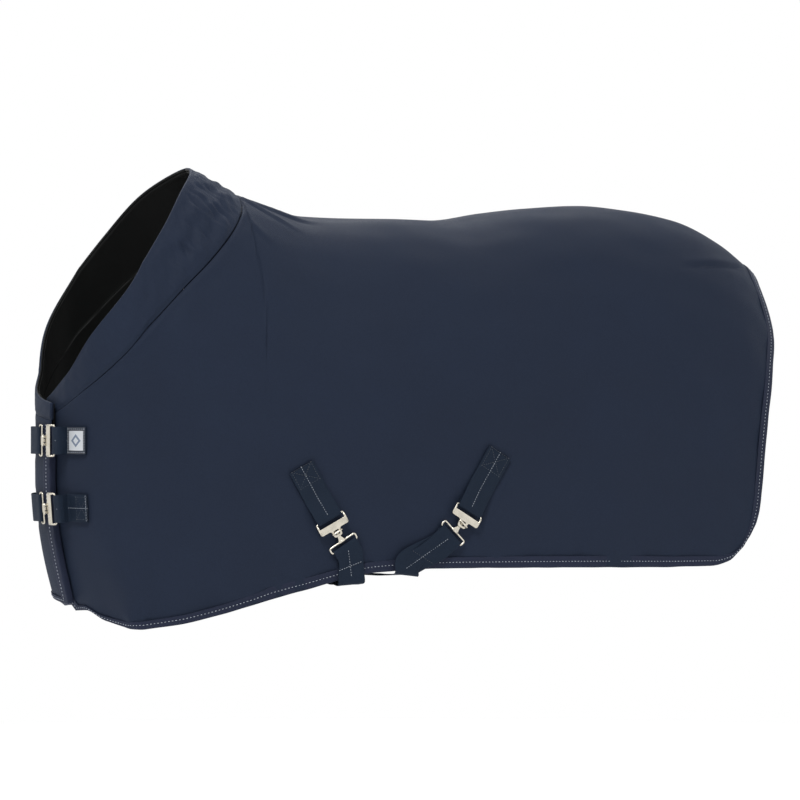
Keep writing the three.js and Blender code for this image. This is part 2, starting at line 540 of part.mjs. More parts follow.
// The loop at a strap's end that holds a fastener's bar, and the strap that runs on from it.
function strapWithLoop(matrix, barY, barZ, toward, frames) {
  const half = STRAP_WIDTH / 2;
  const deep = WIRE + 2;
  const [y0, y1] = [barY - toward * deep, barY + toward * LOOP_REACH].sort((a, b) => a - b);
  const sleeve = box(-half, half, y0, y1, barZ - deep, barZ + deep);
  const bore = fromGeometry(new THREE.CylinderGeometry(WIRE + GAP, WIRE + GAP, STRAP_WIDTH + 20, BEAD)
    .rotateZ(Math.PI / 2).translate(0, barY, barZ));
  const start = frameIn(matrix, barY + toward * (LOOP_REACH - 4), barZ - STRAP / 2);
  if (toward > 0) return placed(sleeve.subtract(bore), matrix).add(strip([start, ...frames]));
  return placed(sleeve.subtract(bore), matrix).add(strip([...frames, start]));
}

// ---- Chest fasteners: the near flap's tab, plate and hook, and the off flap's strap
const LABEL = 50; // side of the label's square
const LABEL_THICK = 0.8;
const CHEST_ROWS = [["upper", -437 * STRETCH_Z], ["lower", -564 * STRETCH_Z]];
const TAB_FROM = 122; // the tab's sewn end, from the chest's middle
const CHEST_BAR = 68.5; // the plate's strap bar, from the middle
const CHEST_RAISE = 10.5; // the plate's back above the off flap's shell
const CHEST_BEND = 0.12; // the hook follows the chest's curve
for (const [name, z] of CHEST_ROWS) {
  const base = onCloth(1, CENTRE_U - CHEST_BAR + BAR_BACK, z, 1, 0, CHEST_RAISE);
  const place = placeOf(base);
  const hookPlace = place.clone().multiply(new THREE.Matrix4().makeTranslation(0, HOOK_Y, PLATE))
    .multiply(new THREE.Matrix4().makeRotationX(-CHEST_BEND))
    .multiply(new THREE.Matrix4().makeTranslation(0, -HOOK_Y, -PLATE));
  const sewn = [TAB_FROM, (TAB_FROM + TAB_FROM - LABEL) / 2, TAB_FROM - LABEL + 6]
    .map((u) => onCloth(-1, CENTRE_U + u, z, -1, 0, TAB_LIFT));
  node(`chest_tab_${name}`, "strap", strapWithLoop(place, -BAR_BACK, BAR_Z, -1, sewn));
  node(`chest_plate_${name}`, "steel", placed(PLATE_SOLID, place));
  node(`chest_hook_${name}`, "steel", placed(HOOK_SOLID, hookPlace));
  const onward = [[22, 5.5], [42, 5], [62, 4], [84, 2], ...share(108, 175, 5).map((u) => [u, TAB_LIFT])]
    .map(([u, lift]) => onCloth(1, CENTRE_U + u, z, 1, 0, lift));
  node(`chest_strap_${name}`, "strap", strapWithLoop(hookPlace, HOOK_BAR_Y, HOOK_BAR_Z, 1, onward));
  if (name === "upper") {
    const above = [TAB_FROM - 1, TAB_FROM - LABEL / 2, TAB_FROM - LABEL + 7]
      .map((u) => onCloth(-1, CENTRE_U + u, z, -1, 0, TAB_LIFT + STRAP + GAP));
    node("label", "label", strip(above, LABEL, LABEL_THICK));
  }
}

// ---- Belly straps. Each crosses under the belly from its near fastener to the off side.
const CLEAR_HEM = BINDING_GAP + BINDING + 4.5; // from the hem's edge to a strap that turns under it
const TURN_CLEAR = 2.6; // more room where a strap turns over the binding
const TURN_IN = 16; // how far in from the flank the strap has turned level
const HINGE_GAP = 0.6;
const BELLY_RAISE = 8.8;
const FAR_TOP = -440 * STRETCH_Z;
const SLIDER_AT = -575 * STRETCH_Z;
const DOWN = new THREE.Vector3(0, 0, -1);
const BELLY = [
  { name: "front", plate: [-266, -600], lean: [0.48, -0.877], long: 128, twist: 0.06,
    near: -232, slant: 0.24, far: -72, drop: 16 },
  { name: "rear", plate: [0, -587], lean: [-0.52, -0.854], long: 146, twist: -0.26,
    near: -122, slant: -0.4, far: -236, drop: 0 },
];
const hemHeight = (u) => Math.min(hemLine(u - STRAP_WIDTH / 2), hemLine(u + STRAP_WIDTH / 2)) + BACK_RISE;
for (const { name, plate, lean, long, twist, near, slant, far, drop } of BELLY) {
  const [u, z] = stretchUZ(plate);
  const place = placeOf(onCloth(-1, u, z, ...lean, BELLY_RAISE));
  const hookPlace = place.clone().multiply(new THREE.Matrix4().makeTranslation(0, HOOK_Y, 0))
    .multiply(new THREE.Matrix4().makeRotationZ(twist))
    .multiply(new THREE.Matrix4().makeTranslation(0, -HOOK_Y, 0));
  const sewn = [long, long * 0.72, long * 0.45]
    .map((back) => onCloth(-1, u - lean[0] * back, z - lean[1] * back, ...lean, TAB_LIFT));
  node(`${name}_near_tab`, "strap", strapWithLoop(place, -BAR_BACK, BAR_Z, -1, sewn));
  node(`${name}_belly_plate`, "steel", placed(PLATE_SOLID, place));
  node(`${name}_belly_hook`, "steel", placed(HOOK_SOLID, hookPlace));

  // The level run from under the near hem to under the off hem, and the frames where it starts and ends.
  const [nearX, farX] = [near * STRETCH_X, far * STRETCH_X];
  const from = new THREE.Vector3(nearX, -halfWidth(nearX) + TURN_IN, hemHeight(nearX) - CLEAR_HEM);
  const to = new THREE.Vector3(farX, halfWidth(farX) - TURN_IN, hemHeight(farX) - CLEAR_HEM - drop);
  const d = to.clone().sub(from).normalize();
  const w = new THREE.Vector3().crossVectors(d, DOWN).normalize();
  const below = new THREE.Vector3().crossVectors(w, d);
  const flat = (p) => ({ p, n: below, w });
  const turn = (side, x, upper, end) => {
    const n = upper.n.clone().add(DOWN).normalize();
    const p = new THREE.Vector3(x, side * (halfWidth(x) + STRAP_LIFT + TURN_CLEAR), end.z + 2);
    return { p, n, w: upper.w.clone().add(w).normalize() };
  };
  const hanging = onCloth(-1, nearX, hemLine(nearX) + 3, slant, -1, STRAP_LIFT + TURN_CLEAR);
  const run = [hanging, turn(-1, nearX, hanging, from), flat(from), flat(to)];
  node(`${name}_belly_strap`, "strap", strapWithLoop(hookPlace, HOOK_BAR_Y, HOOK_BAR_Z, 1, run));

  const riser = [hemLine(farX) + 6, -520 * STRETCH_Z].map((h) => onCloth(1, farX, h, 0, 1, STRAP_LIFT));
  const patch = [FAR_TOP - 40 * STRETCH_Z, FAR_TOP].map((h) => onCloth(1, farX, h, 0, 1, TAB_LIFT));
  const start = flat(to.clone().addScaledVector(d, HINGE_GAP));
  node(`${name}_off_strap`, "strap", strip([start, turn(1, farX, riser[0], to), ...riser, ...patch]));
  const slideAt = placeOf(onCloth(1, farX, SLIDER_AT, 0, 1, STRAP_LIFT));
  node(`${name}_slider`, "steel", placed(SLIDER_SOLID, slideAt));
}

export { rug as default };
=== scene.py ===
"""A turnout rug for a horse, as it hangs on the horse.

The head end is at -X, the near (left) side at -Y and Z is up. Sizes in the code are in millimetres, as a rug
maker measures; every mesh is turned to metres when it is made.
"""

import json
import math

import bpy
import numpy as np
from mathutils import Matrix, Vector

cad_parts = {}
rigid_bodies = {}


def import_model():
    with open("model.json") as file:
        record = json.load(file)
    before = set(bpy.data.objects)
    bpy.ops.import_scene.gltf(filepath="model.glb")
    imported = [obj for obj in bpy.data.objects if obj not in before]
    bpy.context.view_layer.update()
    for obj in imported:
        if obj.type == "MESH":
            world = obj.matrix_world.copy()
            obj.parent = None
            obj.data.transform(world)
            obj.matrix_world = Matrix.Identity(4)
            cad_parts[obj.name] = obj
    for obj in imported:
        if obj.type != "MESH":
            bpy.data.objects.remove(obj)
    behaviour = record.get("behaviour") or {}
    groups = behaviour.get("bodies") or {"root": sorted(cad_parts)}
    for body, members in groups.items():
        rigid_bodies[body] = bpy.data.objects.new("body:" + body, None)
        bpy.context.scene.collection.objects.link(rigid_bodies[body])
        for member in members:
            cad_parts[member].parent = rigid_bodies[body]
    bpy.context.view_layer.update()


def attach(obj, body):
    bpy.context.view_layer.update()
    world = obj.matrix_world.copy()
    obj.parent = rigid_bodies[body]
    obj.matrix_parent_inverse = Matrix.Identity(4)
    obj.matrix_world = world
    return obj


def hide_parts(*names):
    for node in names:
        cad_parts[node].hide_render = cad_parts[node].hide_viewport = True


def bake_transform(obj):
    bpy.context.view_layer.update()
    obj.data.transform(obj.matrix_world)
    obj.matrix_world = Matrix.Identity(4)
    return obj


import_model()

bl_info = {
    "name": "Turnout Rug",
    "version": (1, 0, 0),
    "blender": (4, 5, 0),
    "location": "View3D > Sidebar > Rug",
    "description": "Builds a horse's turnout rug with its straps, fasteners and stitching",
    "category": "Add Mesh",
}

MM = 0.001

# ---- Cloth layers, from the outside in
SHELL = 1.8
FILLING = 5.0
LINING = 1.6
GAP = 0.4  # between pieces that lie on each other
LAYERS = SHELL + GAP + FILLING + GAP + LINING
BINDING = 1.2
BINDING_GAP = 0.9
TAPE = 1.5
TAPE_WIDTH = 30.0
RIDGE_EASE = 1.6
SEAT_HALF = 55.0
BACK_RISE = TAPE + RIDGE_EASE + LAYERS

# ---- Straps and fasteners
STRAP_WIDTH = 52.0
STRAP = 3.0  # thickness where it is doubled
WEB = 1.4  # one thickness of the strap
STRAP_LIFT = 4.5
TAB_LIFT = 0.8
WIRE = 1.8
PLATE = 2.2
PLATE_HEIGHT = 13.0
SIDE_PLAY = 1.2
HOOK_REACH = 33.0
FRAME_BACK = 11.0
BAR_BACK = 17.0
BAR_Z = -1.5
SLOT_HALF = 5.0
SLOT_FROM = PLATE_HEIGHT / 2 + 1.5
SLOT_LONG = 9.0
LUG_BAR = 4.0
HOOK_Y = SLOT_FROM + SLOT_LONG / 2
HOOK_BAR_Y = HOOK_REACH + FRAME_BACK
HOOK_BAR_Z = -3.2
FRAME_HALF = STRAP_WIDTH / 2 + SIDE_PLAY + WIRE
NECK = 2.5  # half width of the hook's neck
NECK_BACK = -1.2  # the neck's front face behind the lug
LEAF = 2.4  # thickness of the hook's flat neck
HEAD_HALF = 11.0
SLIDER_WIRE = 1.5
SLIDER_LONG = 15.0

# ---- Chest
NOSE_X = -745.0
NOSE_DEPTH = 130.0
NOSE_ARC = 256.0
CENTRE_U = NOSE_X + NOSE_DEPTH - NOSE_ARC  # the chest's middle in the unrolled cloth
LAP_UNDER = 0.0
LAP_FROM = 87.0
LAP_EASE = 70.0
LAP_OVER = 42.0
OFF_RISE = 24.0
LAP_LIFT = LAYERS + 2 * (BINDING_GAP + BINDING) + 1
TAB_FROM = 122.0
CHEST_BAR = 68.5
CHEST_RAISE = 10.5
CHEST_BEND = 0.12
CHEST_ROWS = (("upper", -437.0), ("lower", -564.0))
LABEL = 50.0

# ---- Belly straps
CLEAR_HEM = BINDING_GAP + BINDING + 4.5
TURN_CLEAR = 2.6
TURN_IN = 16.0
HINGE_GAP = 0.6
BELLY_RAISE = 8.8
FAR_TOP = -440.0
SLIDER_AT = -575.0
BELLY = (
    {"name": "front", "plate": (-266, -600), "lean": (0.48, -0.877), "long": 128, "twist": 0.06,
     "near": -232, "slant": 0.24, "far": -72, "drop": 16},
    {"name": "rear", "plate": (0, -587), "lean": (-0.52, -0.854), "long": 146, "twist": -0.26,
     "near": -122, "slant": -0.4, "far": -236, "drop": 0},
)


# ---------------------------------------------------------------- the horse's form
def curve(knots):
    """A smooth curve through knots (x, y), with no overshoot between them."""
    p = np.array(sorted(knots), float)
    slope = np.diff(p[:, 1]) / np.diff(p[:, 0])
    before, after = np.r_[slope[0], slope], np.r_[slope, slope[-1]]
    both = before * after
    tangent = np.where(both > 0, 2 * both / np.where(both > 0, before + after, 1), 0)

    def at(x):
        x = np.asarray(x, float)
        i = np.clip(np.searchsorted(p[:, 0], x, side="right") - 1, 0, len(p) - 2)
        h = p[i + 1, 0] - p[i, 0]
        t = np.clip((x - p[i, 0]) / h, 0, 1)
        t2, t3 = t * t, t * t * t
        return ((2 * t3 - 3 * t2 + 1) * p[i, 1] + (t3 - 2 * t2 + t) * h * tangent[i]
                + (3 * t2 - 2 * t3) * p[i + 1, 1] + (t3 - t2) * h * tangent[i + 1])
    return at


def smoothstep(t):
    t = np.clip(t, 0, 1)
    return t * t * (3 - 2 * t)


def mix(a, b, t):
    return a + (b - a) * t


back_line = curve([(-745, 225), (-560, 140), (-457, 91), (-363, 43), (-303, 21), (-218, 2), (-131, 0),
                   (-60, 0), (60, 0), (178, 17), (269, 28), (407, 37), (500, 30), (594, 14), (690, -24),
                   (738, -54), (786, -90), (800, -102)])
half_width = curve([(-745, 188), (-600, 200), (-450, 235), (-300, 262), (-100, 286), (100, 292), (300, 287),
                    (500, 277), (650, 262), (740, 231), (800, 188)])
shoulder_drop = curve([(-745, 430), (-450, 420), (-200, 390), (100, 370), (500, 340), (800, 320)])
ridge = curve([(-745, 0.64), (-457, 0.56), (-250, 0.53), (0, 0.5), (800, 0.5)])
CHEST_LEAN = 39.0
LEAN_FROM = -500.0
LEAN_OVER = 239.0


def quarter_arc(x):
    return math.pi / 2 * np.hypot(shoulder_drop(x), half_width(x)) / math.sqrt(2)


def nose_angle(u):
    return math.pi / 2 * (u - CENTRE_U) / NOSE_ARC


def along_x(u):
    return np.where(u >= NOSE_X + NOSE_DEPTH, u, NOSE_X + NOSE_DEPTH * (1 - np.cos(nose_angle(u))))


def drop_of(u, z):
    """The way down the cloth from the spine to height z on the line u."""
    x = along_x(np.asarray(u, float))
    down = np.maximum(back_line(x) - z, 0)
    a = shoulder_drop(x)
    round_part = np.arccos(np.clip(1 - down / a, -1, 1)) * quarter_arc(x) / (math.pi / 2)
    return np.where(down < a, round_part, quarter_arc(x) + down - a)


def form_point(u, v):
    """The outer face of the near side at (u, v).

    u runs along the horse and round the chest, v down the cloth from the spine."""
    x = along_x(u)
    a = shoulder_drop(x)
    psi = np.clip(v / quarter_arc(x) * math.pi / 2, 0, math.pi / 2)
    z = back_line(x) - a * (1 - np.cos(psi)) - np.maximum(v - quarter_arc(x), 0)
    turned = np.where(u >= NOSE_X + NOSE_DEPTH, 1, np.sin(nose_angle(u)))
    y = -half_width(x) * np.sin(psi) ** (2 * ridge(x)) * turned
    foot = np.maximum(LEAN_FROM - z, 0) / LEAN_OVER
    lean = CHEST_LEAN * foot * foot * smoothstep((-600 - u) / 160)
    return np.stack(np.broadcast_arrays(x + lean, y, z + BACK_RISE), -1)


def unit(v):
    v = np.asarray(v, float)
    return v / np.maximum(np.linalg.norm(v, axis=-1, keepdims=True), 1e-12)


def form_normal(u, v):
    e = 2.0
    w = np.maximum(v, 3 * e)
    du = form_point(u + e, w) - form_point(u - e, w)
    dv = form_point(u, w + e) - form_point(u, w - e)
    n = unit(np.cross(dv, du))
    n[..., 1] = np.where(v < 3 * e, 0, n[..., 1])
    return unit(n)


def cloth_point(side, u, v, depth):
    """A point `depth` inside the outer face. The off side's flap (side 1) rides over the near one."""
    u, v, depth = np.broadcast_arrays(np.asarray(u, float), np.asarray(v, float), np.asarray(depth, float))
    lap = LAP_LIFT * smoothstep((CENTRE_U + LAP_FROM - u) / LAP_EASE) if side > 0 else 0
    p = form_point(u, v) + form_normal(u, v) * (lap - depth)[..., None]
    p[..., 1] = np.where(v < 1, -GAP / 2, p[..., 1])
    if side > 0:
        p[..., 1] *= -1
    return p


# ---------------------------------------------------------------- outlines of the cut pieces
NECK_TOP = -457.0
COLLAR_TOP = -363.0
TAIL = 800.0
HEM_REAR = 636.0
REAR_TOP_Z = -102.0
REAR_FOOT_Z = -655.0
neck_line = curve([(-936, -372), (-871, -358), (-800, -313), (-740, -240), (-643, -138), (-569, -38),
                   (-510, 42), (-457, 91)])
collar_seam = curve([(-936, -404), (-836, -384), (-748, -337), (-672, -281), (-603, -215), (-538, -148),
                     (-479, -93), (-400, -14), (-379, 12), (-363, 43)])
hem_line = curve([(-936, -770), (-871, -764), (-805, -758), (-766, -776), (-723, -785), (-686, -789),
                  (-640, -789), (-556, -781), (-518, -773), (-332, -722), (-175, -687), (-50, -682),
                  (250, -686), (500, -690), (560, -690), (600, -682), (636, -655)])
rear_edge = curve([(-102, 800), (-112, 760), (-124, 751), (-148, 747), (-213, 746), (-298, 723),
                   (-428, 700), (-508, 690), (-572, 681), (-612, 668), (-655, 636)])
flap_edge = curve([(-758, 1), (-748, 0.62), (-724, 0.26), (-690, 0.06), (-650, 0), (-300, 0)])


def hem_of(side, u):
    """The hem's height. The off side's hem is drawn up a little in front."""
    return hem_line(u) + (OFF_RISE * smoothstep((-440 - np.asarray(u, float)) / 160) if side > 0 else 0)


def corner_of(side):
    return 30.0 if side < 0 else 14.0


def flap_end(side):
    return CENTRE_U + (LAP_UNDER if side < 0 else -LAP_OVER)


def along(line, t):
    """The points a share t of the way along a line of (u, v) points."""
    line = np.asarray(line, float)
    at = np.r_[0, np.cumsum(np.hypot(*np.diff(line, axis=0).T))]
    want = np.asarray(t, float) * at[-1]
    return np.stack([np.interp(want, at, line[:, 0]), np.interp(want, at, line[:, 1])], -1)


def panel_patch(side):
    """The side panel from shares (s, t) to (u, v): s from the flap's edge to the tail, t down to the hem."""
    end = flap_end(side)
    corner = corner_of(side)

    def top(s):
        u = mix(end, TAIL, s)
        return np.stack([u, np.where(u < COLLAR_TOP, drop_of(u, collar_seam(u)), 0)], -1)

    def bottom(s):
        u = mix(end + corner, HEM_REAR, s)
        return np.stack([u, drop_of(u, hem_of(side, u))], -1)

    def line(edge, start, stop):
        z = np.linspace(start, stop, 25)
        return np.stack([edge(z), drop_of(edge(z), z)], -1)

    front = line(lambda z: end + corner * flap_edge(z), collar_seam(end), hem_of(side, end + corner))
    rear = line(rear_edge, REAR_TOP_Z, REAR_FOOT_Z)
    a0, a1, b0, b1 = top(0.0), top(1.0), bottom(0.0), bottom(1.0)

    def patch(s, t):
        s, t = np.broadcast_arrays(np.asarray(s, float), np.asarray(t, float))
        a, b, c, d = top(s), bottom(s), along(front, t), along(rear, t)
        s, t = s[..., None], t[..., None]
        at = ((1 - t) * a + t * b + (1 - s) * c + s * d - (1 - s) * (1 - t) * a0 - s * (1 - t) * a1
              - (1 - s) * t * b0 - s * t * b1)
        return at[..., 0], at[..., 1]
    return patch


def collar_patch(side):
    """The collar from shares (s, t) to (u, v): s from the flap's edge to the crest, t from the neckline."""
    end = flap_end(side)

    def patch(s, t):
        s, t = np.broadcast_arrays(np.asarray(s, float), np.asarray(t, float))
        un, uc = mix(end, NECK_TOP, s), mix(end, COLLAR_TOP, s)
        vn = np.where(s > 0.9999, 0, drop_of(un, neck_line(un)))
        vc = np.where(s > 0.9999, 0, drop_of(uc, collar_seam(uc)))
        return mix(un, uc, t), mix(vn, vc, t)
    return patch


# ---------------------------------------------------------------- how the cloth lies
def waves(x, y, length, seed):
    """A soft uneven field from -1 to 1, its swells about `length` apart. A seed always gives the same one."""
    rng = np.random.default_rng(seed)
    total = np.zeros(np.broadcast(x, y).shape)
    for _ in range(9):
        angle, phase = rng.uniform(0, 2 * math.pi, 2)
        k = 2 * math.pi / (length * rng.uniform(0.75, 1.5))
        total = total + np.sin(k * (x * math.cos(angle) + y * math.sin(angle)) + phase)
    return total / 4.5


def bump(x, centre, width):
    return np.exp(-((x - centre) / width) ** 2)


def crease(u, v, start, stop, width, bow=0.0):
    """A ridge along the line from start to stop in the unrolled cloth, fading out at its ends."""
    start, stop = np.array(start, float), np.array(stop, float)
    d = stop - start
    long = np.hypot(*d)
    d = d / long
    t = ((u - start[0]) * d[0] + (v - start[1]) * d[1]) / long
    off = (u - start[0]) * -d[1] + (v - start[1]) * d[0] - bow * 4 * t * (1 - t)
    return bump(off, 0, width) * smoothstep(t / 0.3) * smoothstep((1 - t) / 0.4)


def strap_zones(side, u, z):
    """From 0 to 1, where straps and tabs press the cloth flat."""
    zone = np.zeros(np.shape(u))
    for _, level in CHEST_ROWS:
        reach = (CENTRE_U - 60, CENTRE_U + (TAB_FROM if side < 0 else 182))
        inside = smoothstep((u - reach[0] + 20) / 20) * smoothstep((reach[1] + 14 - u) / 14)
        zone = np.maximum(zone, inside * smoothstep((STRAP_WIDTH / 2 + 16 - np.abs(z - level)) / 14))
    for belt in BELLY:
        (pu, pz), (lu, lz) = belt["plate"], belt["lean"]
        if side < 0:
            t = (u - pu) * -lu + (z - pz) * -lz
            off = (u - pu) * lz - (z - pz) * lu
            inside = smoothstep((belt["long"] + 12 - t) / 14)
        else:
            off = u - belt["far"]
            inside = smoothstep((FAR_TOP + 14 - z) / 14)
        zone = np.maximum(zone, inside * smoothstep((STRAP_WIDTH / 2 + 16 - np.abs(off)) / 14))
    return zone


# Folds in the unrolled cloth: start, stop, width, height and bow. Short ones run back from the collar's seam at
# the withers, and long ones lie at the shoulder and from the flank to the stifle.
WITHERS_FOLDS = (((-372, 22), (-200, 96), 11, 4.6, 8), ((-388, 60), (-262, 170), 9, 3.4, -6),
                 ((-352, 8), (-226, 30), 8, 3.0, 5), ((-430, 110), (-330, 250), 10, 2.8, 8))
SIDE_FOLDS = (((-560, 330), (-500, 700), 26, 2.2, 18), ((-500, 300), (-430, 640), 34, -1.8, 14),
              ((470, 420), (640, 700), 30, 1.6, -14))
DART = ((505, 273), (742, 142), 21)  # the rump dart's start, stop and bow


def shell_height(side, u, v, size):
    """How far the outer fabric stands above its smooth form, in millimetres."""
    x = along_x(u)
    drop, quarter = shoulder_drop(x), quarter_arc(x)
    psi = np.clip(v / quarter * math.pi / 2, 0, math.pi / 2)
    z = back_line(x) - np.where(v < quarter, drop * (1 - np.cos(psi)), drop + v - quarter)
    off = 0 if side < 0 else 40  # the two sides lie differently
    seam = np.where(u < COLLAR_TOP, v - drop_of(u, collar_seam(u)), 1e3)
    above_hem = z - hem_of(side, u)
    h = size.swell * waves(u, v * 0.55, 260, 3 + off) + 0.35 * size.swell * waves(u * 0.6, v, 90, 5 + off)
    # Loose cloth hangs in long, shallow folds from the widest part of the barrel to the hem.
    low = smoothstep((v - 380) / 300)
    h = h + size.swell * 0.7 * low * waves(u, v * 0.12, 150, 9 + off)
    # The gathered stitching at the hem and at the collar puckers the cloth beside it.
    h = h + size.pucker * waves(u, v * 0.2, 34, 11 + off) * bump(above_hem, 10, 34)
    h = h + size.pucker * 1.3 * waves(u + v, (v - u) * 0.25, 38, 13 + off) * bump(seam, 8, 42)
    # A fold at the withers has a hollow along its lower side.
    for start, stop, wide, high, bow in WITHERS_FOLDS:
        h = h + high * crease(u, v, start, stop, wide, bow) - 0.6 * high * crease(
            u, v, (start[0] + 4, start[1] + 16), (stop[0] + 4, stop[1] + 18), wide, bow)
    for start, stop, wide, high, bow in SIDE_FOLDS:
        h = h + high * crease(u, v, start, stop, wide, bow)
    # The dart at the rump: a sewn fold that takes the cloth in round the quarters.
    h = h - 4.2 * crease(u, v, *DART[:2], 6, DART[2])
    h = h + 2.2 * crease(u, v, (515, 255), (744, 126), 12, DART[2])
    h = h * (1 - 0.6 * smoothstep((-700 - u) / 90))
    h = np.minimum(h, 5.5)
    # Flat where a strap presses, and level at the seams.
    zone = strap_zones(side, u, z)
    h = mix(h, -1.2, zone)
    h = h * smoothstep(v / 70)
    edge = smoothstep(seam / 9)
    return np.maximum(mix(-1.6, h, edge), -3.0)


# ---------------------------------------------------------------- meshes
def make_mesh(name, points, faces, material, uv=None, sharp=None):
    """A mesh object at the origin from points in millimetres, closed, with its faces turned outwards."""
    mesh = bpy.data.meshes.new(name)
    mesh.from_pydata((np.asarray(points, float) * MM).tolist(), [], [tuple(f) for f in faces])
    mesh.validate()
    co = np.empty(len(mesh.vertices) * 3)
    mesh.vertices.foreach_get("co", co)
    co = co.reshape(-1, 3)
    mesh.calc_loop_triangles()
    tri = np.empty(len(mesh.loop_triangles) * 3, np.int32)
    mesh.loop_triangles.foreach_get("vertices", tri)
    a, b, c = (co[tri.reshape(-1, 3)[:, k]] for k in range(3))
    if (a * np.cross(b, c)).sum() < 0:
        mesh.flip_normals()
    if uv is not None:
        layer = mesh.uv_layers.new(name="Cloth")
        corner = np.empty(len(mesh.loops), np.int32)
        mesh.loops.foreach_get("vertex_index", corner)
        layer.data.foreach_set("uv", (np.asarray(uv, float)[corner] * MM).ravel())
    mesh.polygons.foreach_set("use_smooth", np.ones(len(mesh.polygons), bool))
    if sharp:
        mesh.set_sharp_from_angle(angle=sharp)
    mesh.materials.append(material)
    obj = bpy.data.objects.new(name, mesh)
    bpy.context.scene.collection.objects.link(obj)
    return obj


def grid_faces(rows, cols, start=0, flip=False):
    at = start + np.arange(rows * cols).reshape(rows, cols)
    q = np.stack([at[:-1, :-1], at[1:, :-1], at[1:, 1:], at[:-1, 1:]], -1).reshape(-1, 4)
    return q[:, ::-1] if flip else q


def cloth_layer(name, outer, inner, uv, material):
    """A closed sheet between two grids of points with the same rows and columns."""
    rows, cols = outer.shape[:2]
    count = rows * cols
    rim = np.r_[np.arange(cols), cols - 1 + cols * np.arange(1, rows),
                (rows - 1) * cols + np.arange(cols - 2, -1, -1), cols * np.arange(rows - 2, 0, -1)]
    ahead = np.roll(rim, -1)
    side = np.stack([rim, ahead, ahead + count, rim + count], -1)
    faces = np.r_[grid_faces(rows, cols), grid_faces(rows, cols, count, True), side]
    points = np.r_[outer.reshape(-1, 3), inner.reshape(-1, 3)]
    both = np.r_[uv.reshape(-1, 2), uv.reshape(-1, 2)]
    return make_mesh(name, points, faces.tolist(), material, both)


def loft(name, rings, material, uv=None, caps=True, closed_path=False, sharp=None):
    """A body through rings of points, all with the same number."""
    rings = np.asarray(rings, float)
    count, n = rings.shape[:2]
    at = np.arange(count * n).reshape(count, n)
    nxt = np.roll(at, -1, axis=1)
    if closed_path:
        ahead, ahead_nxt = np.roll(at, -1, axis=0), np.roll(nxt, -1, axis=0)
        q = np.stack([at, nxt, ahead_nxt, ahead], -1).reshape(-1, 4)
        return make_mesh(name, rings.reshape(-1, 3), q.tolist(), material, uv, sharp)
    q = np.stack([at[:-1], nxt[:-1], nxt[1:], at[1:]], -1).reshape(-1, 4).tolist()
    if caps:
        q += [at[0][::-1].tolist(), at[-1].tolist()]
    return make_mesh(name, rings.reshape(-1, 3), q, material, uv, sharp)


def join(name, parts):
    """One mesh object from several."""
    for o in bpy.context.view_layer.objects:
        o.select_set(False)
    for o in parts:
        o.select_set(True)
    bpy.context.view_layer.objects.active = parts[0]
    bpy.ops.object.join()
    parts[0].name = name
    parts[0].data.name = name
    return parts[0]


# ---------------------------------------------------------------- materials
def srgb(code):
    """A hex colour as linear RGBA."""
    channels = [int(code[i:i + 2], 16) / 255 for i in (0, 2, 4)]
    linear = [c / 12.92 if c <= 0.04045 else ((c + 0.055) / 1.055) ** 2.4 for c in channels]
    return (*linear, 1.0)


def add_node(tree, kind, links=None, stops=None, **settings):
    """Adds a node. links gives an input's socket or value by name or number, stops the colours of a ramp, and
    settings its properties."""
    node = tree.nodes.new(kind)
    for key, value in settings.items():
        setattr(node, key, value)
    for key, value in (links or {}).items():
        socket = node.inputs[key]
        if isinstance(value, bpy.types.NodeSocket):
            tree.links.new(value, socket)
        else:
            socket.default_value = value
    if stops:
        elements = node.color_ramp.elements
        elements[0].position, elements[0].color = stops[0]
        elements[1].position, elements[1].color = stops[-1]
        for position, colour in stops[1:-1]:
            elements.new(position).color = colour
    return node


def new_material(name, rough, metal=0.0, **shader):
    material = bpy.data.materials.new(name)
    material.use_nodes = True
    tree = material.node_tree
    principled = tree.nodes["Principled BSDF"]
    principled.inputs["Roughness"].default_value = rough
    principled.inputs["Metallic"].default_value = metal
    for key, value in shader.items():
        principled.inputs[key.replace("_", " ")].default_value = value
    return material, tree, principled


def shade(colour, factor):
    return (*(c * factor for c in colour[:3]), 1.0)


